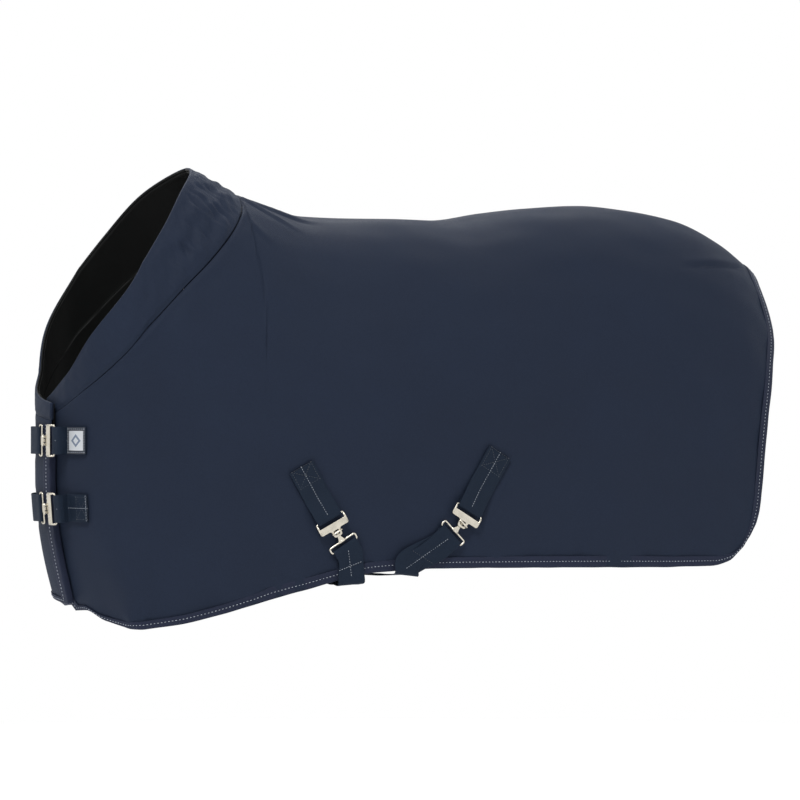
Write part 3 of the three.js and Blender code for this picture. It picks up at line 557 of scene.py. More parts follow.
def woven(name, colour, thread, rough, sheen, relief, rib=0.0, mottle=0.10, sheen_tint="8c9bb4"):
    """A woven fabric on the piece's own cloth map: crossing threads, slow unevenness of dye and dust, sheen,
    and painted shade in the gaps between the threads with a painted highlight on their crests.

    thread is the threads' spacing in millimetres. rib above 0 makes the threads across stand out as ribs."""
    material, tree, shader = new_material(name, rough, Sheen_Weight=sheen, Sheen_Roughness=0.45,
                                          Sheen_Tint=srgb(sheen_tint), Specular_IOR_Level=0.12)
    cloth = add_node(tree, "ShaderNodeUVMap", uv_map="Cloth")
    place = add_node(tree, "ShaderNodeTexCoord")
    threads = []
    for direction, weight in (("X", 1.0), ("Y", 1.0 - rib)):
        wave = add_node(tree, "ShaderNodeTexWave", {"Vector": cloth.outputs["UV"],
                                                    "Scale": 0.5 / (thread * MM),
                                                    "Distortion": 0.6, "Detail": 1.0, "Detail Scale": 0.4},
                        wave_type="BANDS", bands_direction=direction, wave_profile="SIN")
        threads.append(add_node(tree, "ShaderNodeMath", {0: wave.outputs["Fac"], 1: weight},
                                operation="MULTIPLY").outputs[0])
    weave = add_node(tree, "ShaderNodeMath", {0: threads[0], 1: threads[1]}, operation="ADD").outputs[0]
    fine = add_node(tree, "ShaderNodeTexNoise", {"Vector": place.outputs["Object"], "Scale": 420.0,
                                                 "Detail": 3.0, "Roughness": 0.6})
    slow = add_node(tree, "ShaderNodeTexNoise", {"Vector": place.outputs["Object"], "Scale": 5.5,
                                                 "Detail": 4.0, "Roughness": 0.55})
    base = add_node(tree, "ShaderNodeValToRGB", {"Fac": slow.outputs["Fac"]}, [
        (0.3, shade(colour, 1 - mottle)), (0.52, colour), (0.75, shade(colour, 1 + 1.4 * mottle))])
    # Painted shade and highlight mixed with random fibre speckle: the colour is darker in the gaps between the
    # threads and lighter on their crests, following the same relief as the bump.
    speck_and_weave_shade_mask = add_node(tree, "ShaderNodeMath", {0: fine.outputs["Fac"], 1: weave}, operation="MULTIPLY")
    painted_weave_shade_and_speck = add_node(tree, "ShaderNodeMapRange", {"Value": speck_and_weave_shade_mask.outputs[0], "From Min": 0.1, "From Max": 1.0,
                                                 "To Min": 0.78, "To Max": 1.24})
    shaded_and_speckled_colour = add_node(tree, "ShaderNodeVectorMath", {0: base.outputs["Color"]}, operation="SCALE")
    tree.links.new(painted_weave_shade_and_speck.outputs[0], shaded_and_speckled_colour.inputs["Scale"])
    tree.links.new(shaded_and_speckled_colour.outputs[0], shader.inputs["Base Color"])
    uneven = add_node(tree, "ShaderNodeMapRange", {"Value": slow.outputs["Fac"], "To Min": rough - 0.08,
                                                   "To Max": rough + 0.1})
    tree.links.new(uneven.outputs[0], shader.inputs["Roughness"])
    height = add_node(tree, "ShaderNodeMath", {0: weave, 1: fine.outputs["Fac"]}, operation="ADD")
    raised = add_node(tree, "ShaderNodeBump", {"Height": height.outputs[0], "Strength": relief,
                                               "Distance": 0.0004})
    tree.links.new(raised.outputs[0], shader.inputs["Normal"])
    return material


def nickel(name, colour):
    """Cast clips and drawn wire, tumbled and nickel plated: warm and bright, with the tumbling's soft grain."""
    material, tree, shader = new_material(name, 0.26, 1.0)
    place = add_node(tree, "ShaderNodeTexCoord")
    grain = add_node(tree, "ShaderNodeTexNoise", {"Vector": place.outputs["Object"], "Scale": 900.0,
                                                  "Detail": 4.0})
    dull = add_node(tree, "ShaderNodeTexNoise", {"Vector": place.outputs["Object"], "Scale": 60.0,
                                                 "Detail": 3.0})
    base = add_node(tree, "ShaderNodeValToRGB", {"Fac": dull.outputs["Fac"]},
                    [(0.3, shade(colour, 0.8)), (0.7, colour)])
    tree.links.new(base.outputs["Color"], shader.inputs["Base Color"])
    rough = add_node(tree, "ShaderNodeMapRange", {"Value": dull.outputs["Fac"], "To Min": 0.16, "To Max": 0.4})
    tree.links.new(rough.outputs[0], shader.inputs["Roughness"])
    raised = add_node(tree, "ShaderNodeBump", {"Height": grain.outputs["Fac"], "Strength": 0.12,
                                               "Distance": 0.0003})
    tree.links.new(raised.outputs[0], shader.inputs["Normal"])
    return material


def thread_material(name, colour):
    """Bonded polyester sewing thread: a slight gloss, and its twist shows as fine bands of bumps, with painted
    shade in the grooves between them.
    """
    material, tree, shader = new_material(name, 0.5, Sheen_Weight=0.3)
    place = add_node(tree, "ShaderNodeTexCoord")
    twist = add_node(tree, "ShaderNodeTexWave", {"Vector": place.outputs["Object"], "Scale": 500.0,
                                                 "Distortion": 1.0}, bands_direction="DIAGONAL")
    # Painted shade: the colour is darker in the twist's grooves, where the bump is low.
    base = add_node(tree, "ShaderNodeValToRGB", {"Fac": twist.outputs["Fac"]},
                    [(0.2, shade(colour, 0.75)), (0.7, colour)])
    tree.links.new(base.outputs["Color"], shader.inputs["Base Color"])
    raised = add_node(tree, "ShaderNodeBump", {"Height": twist.outputs["Fac"], "Strength": 0.3,
                                               "Distance": 0.0003})
    tree.links.new(raised.outputs[0], shader.inputs["Normal"])
    return material


def wadding_material(name):
    """Carded polyester wadding: white, matt and fibrous, with painted shade greying it where the fibres lie
    low.
    """
    material, tree, shader = new_material(name, 0.95, Sheen_Weight=0.4)
    place = add_node(tree, "ShaderNodeTexCoord")
    fibre = add_node(tree, "ShaderNodeTexNoise", {"Vector": place.outputs["Object"], "Scale": 240.0,
                                                  "Detail": 6.0, "Roughness": 0.7, "Distortion": 1.5})
    # Painted shade: the colour greys towards b9b9b4 where the fibre bump is low, between the fibres.
    base = add_node(tree, "ShaderNodeValToRGB", {"Fac": fibre.outputs["Fac"]},
                    [(0.3, srgb("b9b9b4")), (0.7, srgb("f0f0ec"))])
    tree.links.new(base.outputs["Color"], shader.inputs["Base Color"])
    raised = add_node(tree, "ShaderNodeBump", {"Height": fibre.outputs["Fac"], "Strength": 0.5,
                                               "Distance": 0.001})
    tree.links.new(raised.outputs[0], shader.inputs["Normal"])
    return material


def label_material(name):
    """A damask label: a pale square with a plain grey diamond, woven into a dark patch."""
    material, tree, shader = new_material(name, 0.62, Sheen_Weight=0.2)
    cloth = add_node(tree, "ShaderNodeUVMap", uv_map="Cloth")
    parts = add_node(tree, "ShaderNodeSeparateXYZ", {"Vector": cloth.outputs["UV"]})
    far = [add_node(tree, "ShaderNodeMath", {0: parts.outputs[axis]}, operation="ABSOLUTE").outputs[0]
           for axis in "XY"]
    square = add_node(tree, "ShaderNodeMath", {0: far[0], 1: far[1]}, operation="MAXIMUM")
    diamond = add_node(tree, "ShaderNodeMath", {0: far[0], 1: far[1]}, operation="ADD")
    pale = add_node(tree, "ShaderNodeMath", {0: square.outputs[0], 1: 0.0185}, operation="LESS_THAN")
    ring = add_node(tree, "ShaderNodeMath", {0: diamond.outputs[0], 1: 0.0125}, operation="LESS_THAN")
    core = add_node(tree, "ShaderNodeMath", {0: diamond.outputs[0], 1: 0.0068}, operation="LESS_THAN")
    ground = add_node(tree, "ShaderNodeMixRGB", {"Fac": pale.outputs[0], "Color1": srgb("262d3a"),
                                                 "Color2": srgb("dfe3e8")})
    drawn = add_node(tree, "ShaderNodeMixRGB", {"Fac": ring.outputs[0], "Color1": ground.outputs[0],
                                                "Color2": srgb("7f8da3")})
    middle = add_node(tree, "ShaderNodeMixRGB", {"Fac": core.outputs[0], "Color1": drawn.outputs[0],
                                                 "Color2": srgb("dfe3e8")})
    tree.links.new(middle.outputs[0], shader.inputs["Base Color"])
    weft = add_node(tree, "ShaderNodeTexWave", {"Vector": cloth.outputs["UV"], "Scale": 320.0,
                                                "Distortion": 0.4}, bands_direction="Y")
    raised = add_node(tree, "ShaderNodeBump", {"Height": weft.outputs["Fac"], "Strength": 0.4,
                                               "Distance": 0.0003})
    tree.links.new(raised.outputs[0], shader.inputs["Normal"])
    return material


def materials():
    """The rug's finishes, made once."""
    colours = bpy.context.scene.rug_colours
    made = {
        # 1200 denier polyester, plain weave, coated inside. The threads are 0.6 mm apart and are drawn at 2 mm,
        # so that they show: a matt navy with a cool sheen and a faint grid of bumps and painted shade.
        "Outer polyester, woven and coated": lambda n: woven(
            n, colours.outer, 2.0, 0.62, 0.05, 0.35, mottle=0.06),
        # The same cloth, softer because it is washed and handled: round the neck.
        "Collar polyester, woven": lambda n: woven(n, colours.outer, 2.0, 0.58, 0.07, 0.35, mottle=0.07),
        # Taffeta lining: fine, close and slightly glossy.
        "Lining nylon, woven": lambda n: woven(
            n, colours.lining, 1.6, 0.5, 0.02, 0.2, mottle=0.1, sheen_tint="5c5c60"),
        # Grosgrain tape: ribs across its width, 1.5 mm apart, drawn at 2.4 mm.
        "Binding tape, grosgrain": lambda n: woven(
            n, colours.binding, 2.4, 0.6, 0.08, 0.5, rib=0.75, mottle=0.1),
        # Polypropylene-backed strap cloth: the weave is coarser than the rug's.
        "Strap webbing, woven": lambda n: woven(n, colours.strap, 2.6, 0.66, 0.05, 0.6, rib=0.35, mottle=0.08),
        "Clips, nickel plated": lambda n: nickel(n, colours.metal),
        "Sewing thread, polyester": lambda n: thread_material(n, colours.thread),
        "Sewing thread, dark polyester": lambda n: thread_material(n, colours.dark_thread),
        "Wadding, polyester": wadding_material,
        "Label, damask woven": label_material,
    }
    for name, build in made.items():
        if name not in bpy.data.materials:
            build(name)
    keys = ("shell", "collar", "lining", "binding", "strap", "metal", "thread", "dark thread", "wadding",
            "label")
    return {key: bpy.data.materials[name] for key, name in zip(keys, made)}


# ---------------------------------------------------------------- putting pieces on the frame
SIDES = (("left", "near", -1), ("right", "off", 1))


def bend_at_fold(piece):
    """A piece that runs from the rug's body into a chest flap keeps its place, baked into its mesh."""
    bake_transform(piece)


def finish_cloth(piece, where, slot, *nodes):
    """Cloth from the neck or the tail to a flap's edge: it stands for its solids, in both parts."""
    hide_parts(*nodes)
    bend_at_fold(piece)


def settle(piece, node, body):
    """A piece that doesn't cross the fold stands for its solid and rides on one body."""
    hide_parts(node)
    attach(piece, body)


class RugSizes(bpy.types.PropertyGroup):
    """Sizes of the cloth's waves, of the stitching and of the stage"""
    swell: bpy.props.FloatProperty(
        name="Swell", description="Height in millimetres of the long, soft waves in the side of the rug",
        default=2.6, min=0, max=4)
    pucker: bpy.props.FloatProperty(
        name="Pucker", description="Height in millimetres of the small gathers beside a seam",
        default=1.2, min=0, max=3)
    stitch_long: bpy.props.FloatProperty(
        name="Stitch", description="Length of one stitch", default=0.0034, min=0.001, max=0.02, unit="LENGTH")
    stitch_pitch: bpy.props.FloatProperty(
        name="Stitch Spacing", description="From the start of one stitch to the next", default=0.0048,
        min=0.002, max=0.03, unit="LENGTH")
    thread_radius: bpy.props.FloatProperty(
        name="Thread Radius", description="Half the thickness of the sewing thread", default=0.00055,
        min=0.0001, max=0.002, unit="LENGTH")
    floor_drop: bpy.props.FloatProperty(
        name="Floor", description="Depth of the studio floor below the rug's origin", default=1.35,
        min=0.8, max=3, unit="LENGTH")


def colour_property(name, description, code):
    return bpy.props.FloatVectorProperty(name=name, description=description, subtype="COLOR", size=4,
                                         min=0, max=1, default=srgb(code))


class RugColours(bpy.types.PropertyGroup):
    """Colours of the cloth, the metal and the thread"""
    outer: colour_property("Outer Fabric", "Colour of the outer fabric and the collar", "242d3f")
    lining: colour_property("Lining", "Colour of the lining", "111212")
    binding: colour_property("Binding", "Colour of the edge binding", "2c3246")
    strap: colour_property("Straps", "Colour of the straps and tabs", "1f2a3a")
    metal: colour_property("Metal", "Colour of the nickel plate", "d8d2c4")
    thread: colour_property("Thread", "Colour of the stitching", "b4bdca")
    dark_thread: colour_property("Dark Thread", "Colour of the stitching that holds the strap ends", "2a3342")


class RUG_OT_side_panels(bpy.types.Operator):
    """Makes both sides: outer fabric, wadding and lining, each in one piece from the chest to the tail"""
    bl_idname = "rug.side_panels"
    bl_label = "Side Panels"

    def execute(self, context):
        size, finish = context.scene.rug_sizes, materials()
        for name, where, side in SIDES:
            patch = panel_patch(side)
            s, t = np.meshgrid(np.linspace(0, 1, 231), np.linspace(0, 1, 131))
            u, v = patch(s, t)
            uv = np.stack([u, v], -1)
            h = shell_height(side, u, v, size)
            shell = cloth_layer(f"outer_fabric_{where}", cloth_point(side, u, v, -h),
                                cloth_point(side, u, v, SHELL - h), uv, finish["shell"])
            finish_cloth(shell, where, "outer fabric", f"shell_{name}", f"shell_{name}_chest")

            # The wadding stops short of the seams, so that only cloth meets cloth there.
            s, t = np.meshgrid(np.linspace(0.004, 0.996, 116), np.linspace(0.008, 0.993, 66))
            u, v = patch(s, t)
            # It follows the lowest of the fabric round each point, so that no crease or dart cuts into it.
            h = np.minimum.reduce([shell_height(side, u + du, np.maximum(v + dv, 0), size)
                                   for du, dv in ((0, 0), (9, 0), (-9, 0), (0, 9), (0, -9))])
            h = np.minimum(h, 4) - 0.2
            pad = cloth_layer(f"wadding_{where}_side", cloth_point(side, u, v, SHELL + GAP - h),
                              cloth_point(side, u, v, LAYERS - LINING - GAP), np.stack([u, v], -1),
                              finish["wadding"])
            finish_cloth(pad, where, "wadding", f"wadding_{name}", f"wadding_{name}_chest")
            s, t = np.meshgrid(np.linspace(0, 1, 181), np.linspace(0, 1, 101))
            u, v = patch(s, t)
            uv = np.stack([u, v], -1)
            # The lining is cut a little full, so it lies in small folds behind the collar's seam.
            seam = np.where(u < COLLAR_TOP, v - drop_of(u, collar_seam(u)), 1e3)
            full = 1.3 * waves(u + 0.5 * v, v * 0.3, 60, 21) * bump(seam, 60, 90) + 0.7 * waves(u, v, 120, 23)
            full = np.maximum(full, -0.2) * smoothstep(v / 40) * smoothstep((u - CENTRE_U - 90) / 60)
            inner = cloth_layer(f"lining_{where}_side", cloth_point(side, u, v, LAYERS - LINING + full * 0.9),
                                cloth_point(side, u, v, LAYERS + full), uv, finish["lining"])
            finish_cloth(inner, where, "lining", f"lining_{name}", f"lining_{name}_chest")
        return {"FINISHED"}


class RUG_OT_collar(bpy.types.Operator):
    """Makes the padded collar on both sides, with the lining behind it"""
    bl_idname = "rug.collar"
    bl_label = "Collar"

    def execute(self, context):
        finish = materials()
        mid = (LAYERS - LINING - GAP) / 2  # half the collar's thickness without its lining
        for name, where, side in SIDES:
            patch = collar_patch(side)
            s = np.linspace(0, 1, 201)
            back = np.linspace(0.985, 0.03, 40)
            nose = np.linspace(0, math.pi, 11)
            inside = np.linspace(0.03, 0.97, 12)
            rings, maps = [], []
            width = np.hypot(*np.subtract(patch(s, 1.0), patch(s, 0.0)))
            for share in back:
                u, v = patch(s, share)
                seam = smoothstep((0.985 - share) * width / 8)
                neck = smoothstep(share * width / 10)
                # Crumples cross the band, as where it is gripped to put the rug on.
                fold = (waves(u * 1.3 + v * 0.6, v * 0.5 - u * 0.2, 46, 31 + side)
                        + 0.75 * waves(u - v * 0.4, v, 24, 33 + side))
                crest = smoothstep((u + 640) / 120)
                middle = math.sin(math.pi * share)
                fold = fold * (0.75 + 2.5 * crest * middle)
                crown = 1.8 * middle * smoothstep((width - 20) / 60)
                h = (crown + fold * smoothstep((width - 10) / 40)) * seam * neck - 1.8 * (1 - seam)
                h = h * smoothstep(v / 26) - 0.4 * (1 - smoothstep(v / 26))
                rings.append(cloth_point(side, u, v, -np.minimum(h, 5.2)))
                maps.append(np.stack([u, v], -1))
            u0, v0 = patch(s, 0.0)
            ahead = unit(cloth_point(side, *patch(s, 0.0), mid) - cloth_point(side, *patch(s, 0.05), mid))
            for angle in nose:
                depth = mid - mid * math.cos(angle)
                rings.append(cloth_point(side, u0, v0, depth) + ahead * (2.5 * math.sin(angle)))
                maps.append(np.stack([u0, v0], -1))
            for share in inside:
                u, v = patch(s, share)
                rings.append(cloth_point(side, u, v, 2 * mid))
                maps.append(np.stack([u, v], -1))
            rings = np.swapaxes(np.array(rings), 0, 1)
            uv = np.swapaxes(np.array(maps), 0, 1).reshape(-1, 2)
            collar = loft(f"collar_{where}_side", rings, finish["collar"], uv)
            collar.data.materials.append(finish["lining"])
            first = len(back) + len(nose) // 2
            around = np.tile(np.arange(rings.shape[1]), rings.shape[0] - 1)
            turned_in = np.zeros(len(collar.data.polygons), np.int32)
            turned_in[:len(around)] = around >= first
            collar.data.polygons.foreach_set("material_index", turned_in)
            finish_cloth(collar, where, "outer fabric", f"collar_cover_{name}", f"collar_cover_{name}_chest",
                         f"collar_padding_{name}", f"collar_padding_{name}_chest")
            ss, tt = np.meshgrid(np.linspace(0, 1, 101), np.linspace(0.012, 0.996, 20))
            u, v = patch(ss, tt)
            uv = np.stack([u, v], -1)
            loose = cloth_point(side, u, v, LAYERS + 0.4 * waves(u, v, 40, 35))
            inner = cloth_layer(f"collar_lining_{where}_side", cloth_point(side, u, v, LAYERS - LINING), loose,
                                uv, finish["lining"])
            finish_cloth(inner, where, "lining", f"collar_lining_{name}", f"collar_lining_{name}_chest")
        return {"FINISHED"}


HEM_SHARE = 0.026  # the tape's width as a share of the panel's depth
EDGE_SHARE = 0.013  # and of its length


def edge_frames(side):
    """The edge, the tape's inner line and the way out of the cloth, round the flap's edge, the hem and the rear
    edge, with the length along the edge."""
    s1, t1 = 1 - EDGE_SHARE, 1 - HEM_SHARE
    rows, columns = np.linspace(0.03, t1, 110), np.linspace(EDGE_SHARE, s1, 260)
    front = [(0, t, EDGE_SHARE, t) for t in rows]
    under = [(0, 1, EDGE_SHARE, t1)] + [(s, 1, s, t1) for s in columns[1:-1]] + [(1, 1, s1, t1)]
    rear = [(1, t, s1, t) for t in rows[::-1]]
    shares = np.array(front + under + rear).T
    patch = panel_patch(side)
    edge, inner = patch(*shares[:2]), patch(*shares[2:])
    path = cloth_point(side, *edge, 0)
    out = unit(path - cloth_point(side, *inner, 0))
    return (edge, inner, out), np.r_[0, np.cumsum(np.linalg.norm(np.diff(path, axis=0), axis=1))]


def binding_point(side, frames, k, depth, beyond):
    """A ring point of the tape: k from its inner line to the edge, then `beyond` it."""
    edge, inner, out = frames
    across = mix(cloth_point(side, *inner, depth), cloth_point(side, *edge, depth), np.asarray(k)[..., None])
    return across + out * np.asarray(beyond)[..., None]


class RUG_OT_edge_binding(bpy.types.Operator):
    """Makes the folded tape round the flap's edge, the hem and the rear edge on both sides"""
    bl_idname = "rug.edge_binding"
    bl_label = "Edge Binding"

    def execute(self, context):
        finish = materials()
        lift, outer = BINDING_GAP, BINDING_GAP + BINDING
        back, behind = LAYERS + BINDING_GAP, LAYERS + BINDING_GAP + BINDING
        mid = LAYERS / 2
        for name, where, side in SIDES:
            frames, run = edge_frames(side)
            gather = 0.55 * waves(run, 0, 16, 41 + side) + 0.35 * waves(run, 0, 50, 43 + side)
            ripple = 0.9 * waves(run, 0, 62, 45 + side)
            rings = []
            # The outer face is gathered, and the stitches hold it down along its middle.
            for k, held in ((0, 0), (0.04, 1), (0.2, 1), (0.4, 0.35), (0.6, 0.35), (0.8, 1), (0.95, 1)):
                depth = -outer - 0.35 * math.sin(math.pi * k)
                rings.append(binding_point(side, frames, k, depth - np.maximum(gather, -0.5) * held, 0))
            for angle in np.linspace(-75, 75, 9):
                a = math.radians(angle)
                rings.append(binding_point(side, frames, 1.0, mid + (mid + outer) * math.sin(a),
                                           outer * math.cos(a) ** 0.5 + 0.5 * ripple))
            for k, depth in ((0.9, behind), (0.4, behind), (0, behind), (0, back), (0.9, back)):
                rings.append(binding_point(side, frames, k, depth, 0))
            for angle in (60, 0, -60):
                a = math.radians(angle)
                rings.append(binding_point(side, frames, 1.0, mid + (mid + lift) * math.sin(a),
                                           lift * math.cos(a) ** 0.5 + 0.5 * ripple))
            rings.append(binding_point(side, frames, 0.9, -lift, 0))
            rings.append(binding_point(side, frames, 0, -lift, 0))
            rings = np.swapaxes(np.array(rings), 0, 1)
            around = np.r_[0, np.cumsum(np.linalg.norm(np.diff(rings[len(rings) // 2], axis=0), axis=1))]
            uv = np.stack(np.broadcast_arrays(run[:, None], around[None, :]), -1).reshape(-1, 2)
            tape = loft(f"edge_binding_{where}_side", rings, finish["binding"], uv)
            finish_cloth(tape, where, "edge binding", f"hem_binding_{name}", f"chest_binding_{name}")
        return {"FINISHED"}


# ---------------------------------------------------------------- straps
def on_cloth(side, u, z, du, dz, lift):
    """A frame on the outside of a side, `lift` above it, heading the way (du, dz) in the unrolled cloth."""
    v = drop_of(u, z)
    n = form_normal(np.array(float(u)), v) * (1, -side, 1)
    p = cloth_point(side, u, v, -lift)
    d = unit(cloth_point(side, u + du * 0.01, drop_of(u + du * 0.01, z + dz * 0.01), -lift) - p)
    return {"p": p, "d": d, "n": n, "w": unit(np.cross(d, n))}


def place_of(at):
    """A fastener's place at its slotted plate's middle: x across the strap, y towards the hook, z outwards."""
    across = unit(np.cross(at["d"], at["n"]))
    out = unit(np.cross(across, at["d"]))
    matrix = np.eye(4)
    matrix[:3, 0], matrix[:3, 1], matrix[:3, 2], matrix[:3, 3] = across, at["d"], out, at["p"]
    return matrix


def shifted(x, y, z):
    matrix = np.eye(4)
    matrix[:3, 3] = x, y, z
    return matrix


def turned(angle, axis):
    return np.array(Matrix.Rotation(angle, 4, axis))


def moved(matrix, points):
    return np.asarray(points, float) @ matrix[:3, :3].T + matrix[:3, 3]


def frame_in(matrix, y, z, heading=(0, 1, 0), normal=(0, 0, 1)):
    turn = matrix[:3, :3]
    d, n = turn @ np.array(heading, float), turn @ np.array(normal, float)
    return {"p": moved(matrix, (0, y, z)), "d": d, "n": n, "w": unit(np.cross(d, n))}


def raised(at, by):
    return {**at, "p": at["p"] + at["n"] * by}


def eased(frames, step=5.0):
    """The frames joined by one smooth path, a frame every step millimetres."""
    p = np.array([f["p"] for f in frames])
    n = np.array([f["n"] for f in frames])
    w = np.array([f["w"] for f in frames])
    gaps = np.maximum(np.linalg.norm(np.diff(p, axis=0), axis=1), 1e-6)
    at = np.r_[0, np.cumsum(gaps)]
    slope = np.diff(p, axis=0) / gaps[:, None]
    tangent = np.r_[slope[:1], (slope[:-1] * gaps[1:, None] + slope[1:] * gaps[:-1, None])
                    / (gaps[1:] + gaps[:-1])[:, None], slope[-1:]]
    made = []
    for i, gap in enumerate(gaps):
        count = max(int(math.ceil(gap / step)), 2)
        for t in np.linspace(0, 1, count, endpoint=False):
            t2, t3 = t * t, t * t * t
            made.append((at[i] + gap * t,
                         (2 * t3 - 3 * t2 + 1) * p[i] + (t3 - 2 * t2 + t) * gap * tangent[i]
                         + (3 * t2 - 2 * t3) * p[i + 1] + (t3 - t2) * gap * tangent[i + 1],
                         unit(mix(n[i], n[i + 1], t)), unit(mix(w[i], w[i + 1], t))))
    made.append((at[-1], p[-1], n[-1], w[-1]))
    return made


def ribbon(name, frames, material, width=STRAP_WIDTH, thick=WEB, soft=0.35, seed=0, step=5.0):
    """A strap of one thickness through frames on its middle, with rounded edges and a slight unevenness."""
    path = eased(frames, step)
    half, r = width / 2, thick / 2
    over = [(x, r) for x in np.linspace(half - r, r - half, 9)] + [(-half, r * 0.55), (-half, -r * 0.55)]
    profile = np.array(over + [(-x, -y) for x, y in over])
    run = np.array([row[0] for row in path])
    uneven = soft * waves(run[:, None], profile[None, :, 0] * 0.5, 42, 60 + seed)
    ease = np.minimum(smoothstep(run / 12), smoothstep((run[-1] - run) / 12))
    rings, maps = [], []
    for i, (at, p, n, w) in enumerate(path):
        edge = 1 + 0.006 * math.sin(at / 9.0)
        lift = profile[:, 1] + uneven[i] * ease[i]
        rings.append(p + w * (profile[:, :1] * edge) + n * lift[:, None])
        across = profile[:, 0] + np.where(profile[:, 1] < 0, 80, 0)  # the back is mapped beside the front
        maps.append(np.stack([np.full(len(profile), at), across], -1))
    return loft(name, rings, material, np.array(maps).reshape(-1, 2))


def bar_loop(matrix, bar_y, bar_z, toward):
    """Frames of a strap that comes to a bar on its outer side, goes round it and returns behind."""
    r = WIRE + 0.35 + WEB / 2
    frames = [frame_in(matrix, bar_y + toward * reach, bar_z + z, (0, -toward, 0))
              for reach, z in ((16, 1.1), (9, r * 0.8))]
    for angle in np.linspace(75, -75, 9):
        a = math.radians(angle)
        out, up = -toward * math.cos(a), math.sin(a)
        heading = (0, -toward * math.sin(a), -math.cos(a))
        frames.append(frame_in(matrix, bar_y + r * out, bar_z + r * up, heading, (0, out, up)))
    for reach, z in ((9, -r * 0.8), (16, -0.6)):
        frames.append(frame_in(matrix, bar_y + toward * reach, bar_z + z, (0, toward, 0), (0, 0, -1)))
    return frames


def flipped(at):
    return {**at, "n": -at["n"], "w": at["w"]}


def folded_strap(name, matrix, bar_y, bar_z, toward, frames, back, material, seed):
    """A strap whose end goes round a fastener's bar and is sewn back on itself over `back` frames."""
    outer = [raised(f, STRAP - WEB / 2) for f in frames]
    inner = [raised(f, WEB / 2) for f in frames[:back]]
    across = frame_in(matrix, bar_y, bar_z)["w"]
    path = outer[::-1] + bar_loop(matrix, bar_y, bar_z, toward)
    path += [flipped(f) for f in inner]
    for f in path:
        if np.dot(f["w"], across) < 0:
            f["w"] = -f["w"]
    return ribbon(name, path, material, seed=seed)


STITCH_LINES = []  # (body, thread, [points]) for the stitching operator


def line_on_strap(frames, across, lift=STRAP + 0.25):
    """Points on a strap's outer face along it, `across` from its middle."""
    return [row[1] + row[3] * across + row[2] * lift for row in eased(frames, 3.0)]


def line_across(row, half, lift=STRAP + 0.3):
    """The two ends of a line over the strap at one row of its path, `half` either side of the middle."""
    return [row[1] + row[3] * k * half + row[2] * lift for k in (-1, 1)]


def stitch_line(body, line, thread="thread"):
    STITCH_LINES.append((body, thread, line))


def box_stitch(frames, body, inset=5.0):
    """A sewn box with a cross in it, in dark thread, over the strap's part between the first and last frame."""
    half = STRAP_WIDTH / 2 - inset
    rows = eased(frames, 3.0)
    lift = STRAP + 0.15
    for row in (rows[0], rows[-1]):
        stitch_line(body, line_across(row, half, lift), "dark thread")
    for k in (-1, 1):
        stitch_line(body, line_on_strap(frames, k * half, lift), "dark thread")
        cross = [row[1] + row[3] * (k * half * (1 - 2 * i / (len(rows) - 1))) + row[2] * lift
                 for i, row in enumerate(rows)]
        stitch_line(body, cross, "dark thread")


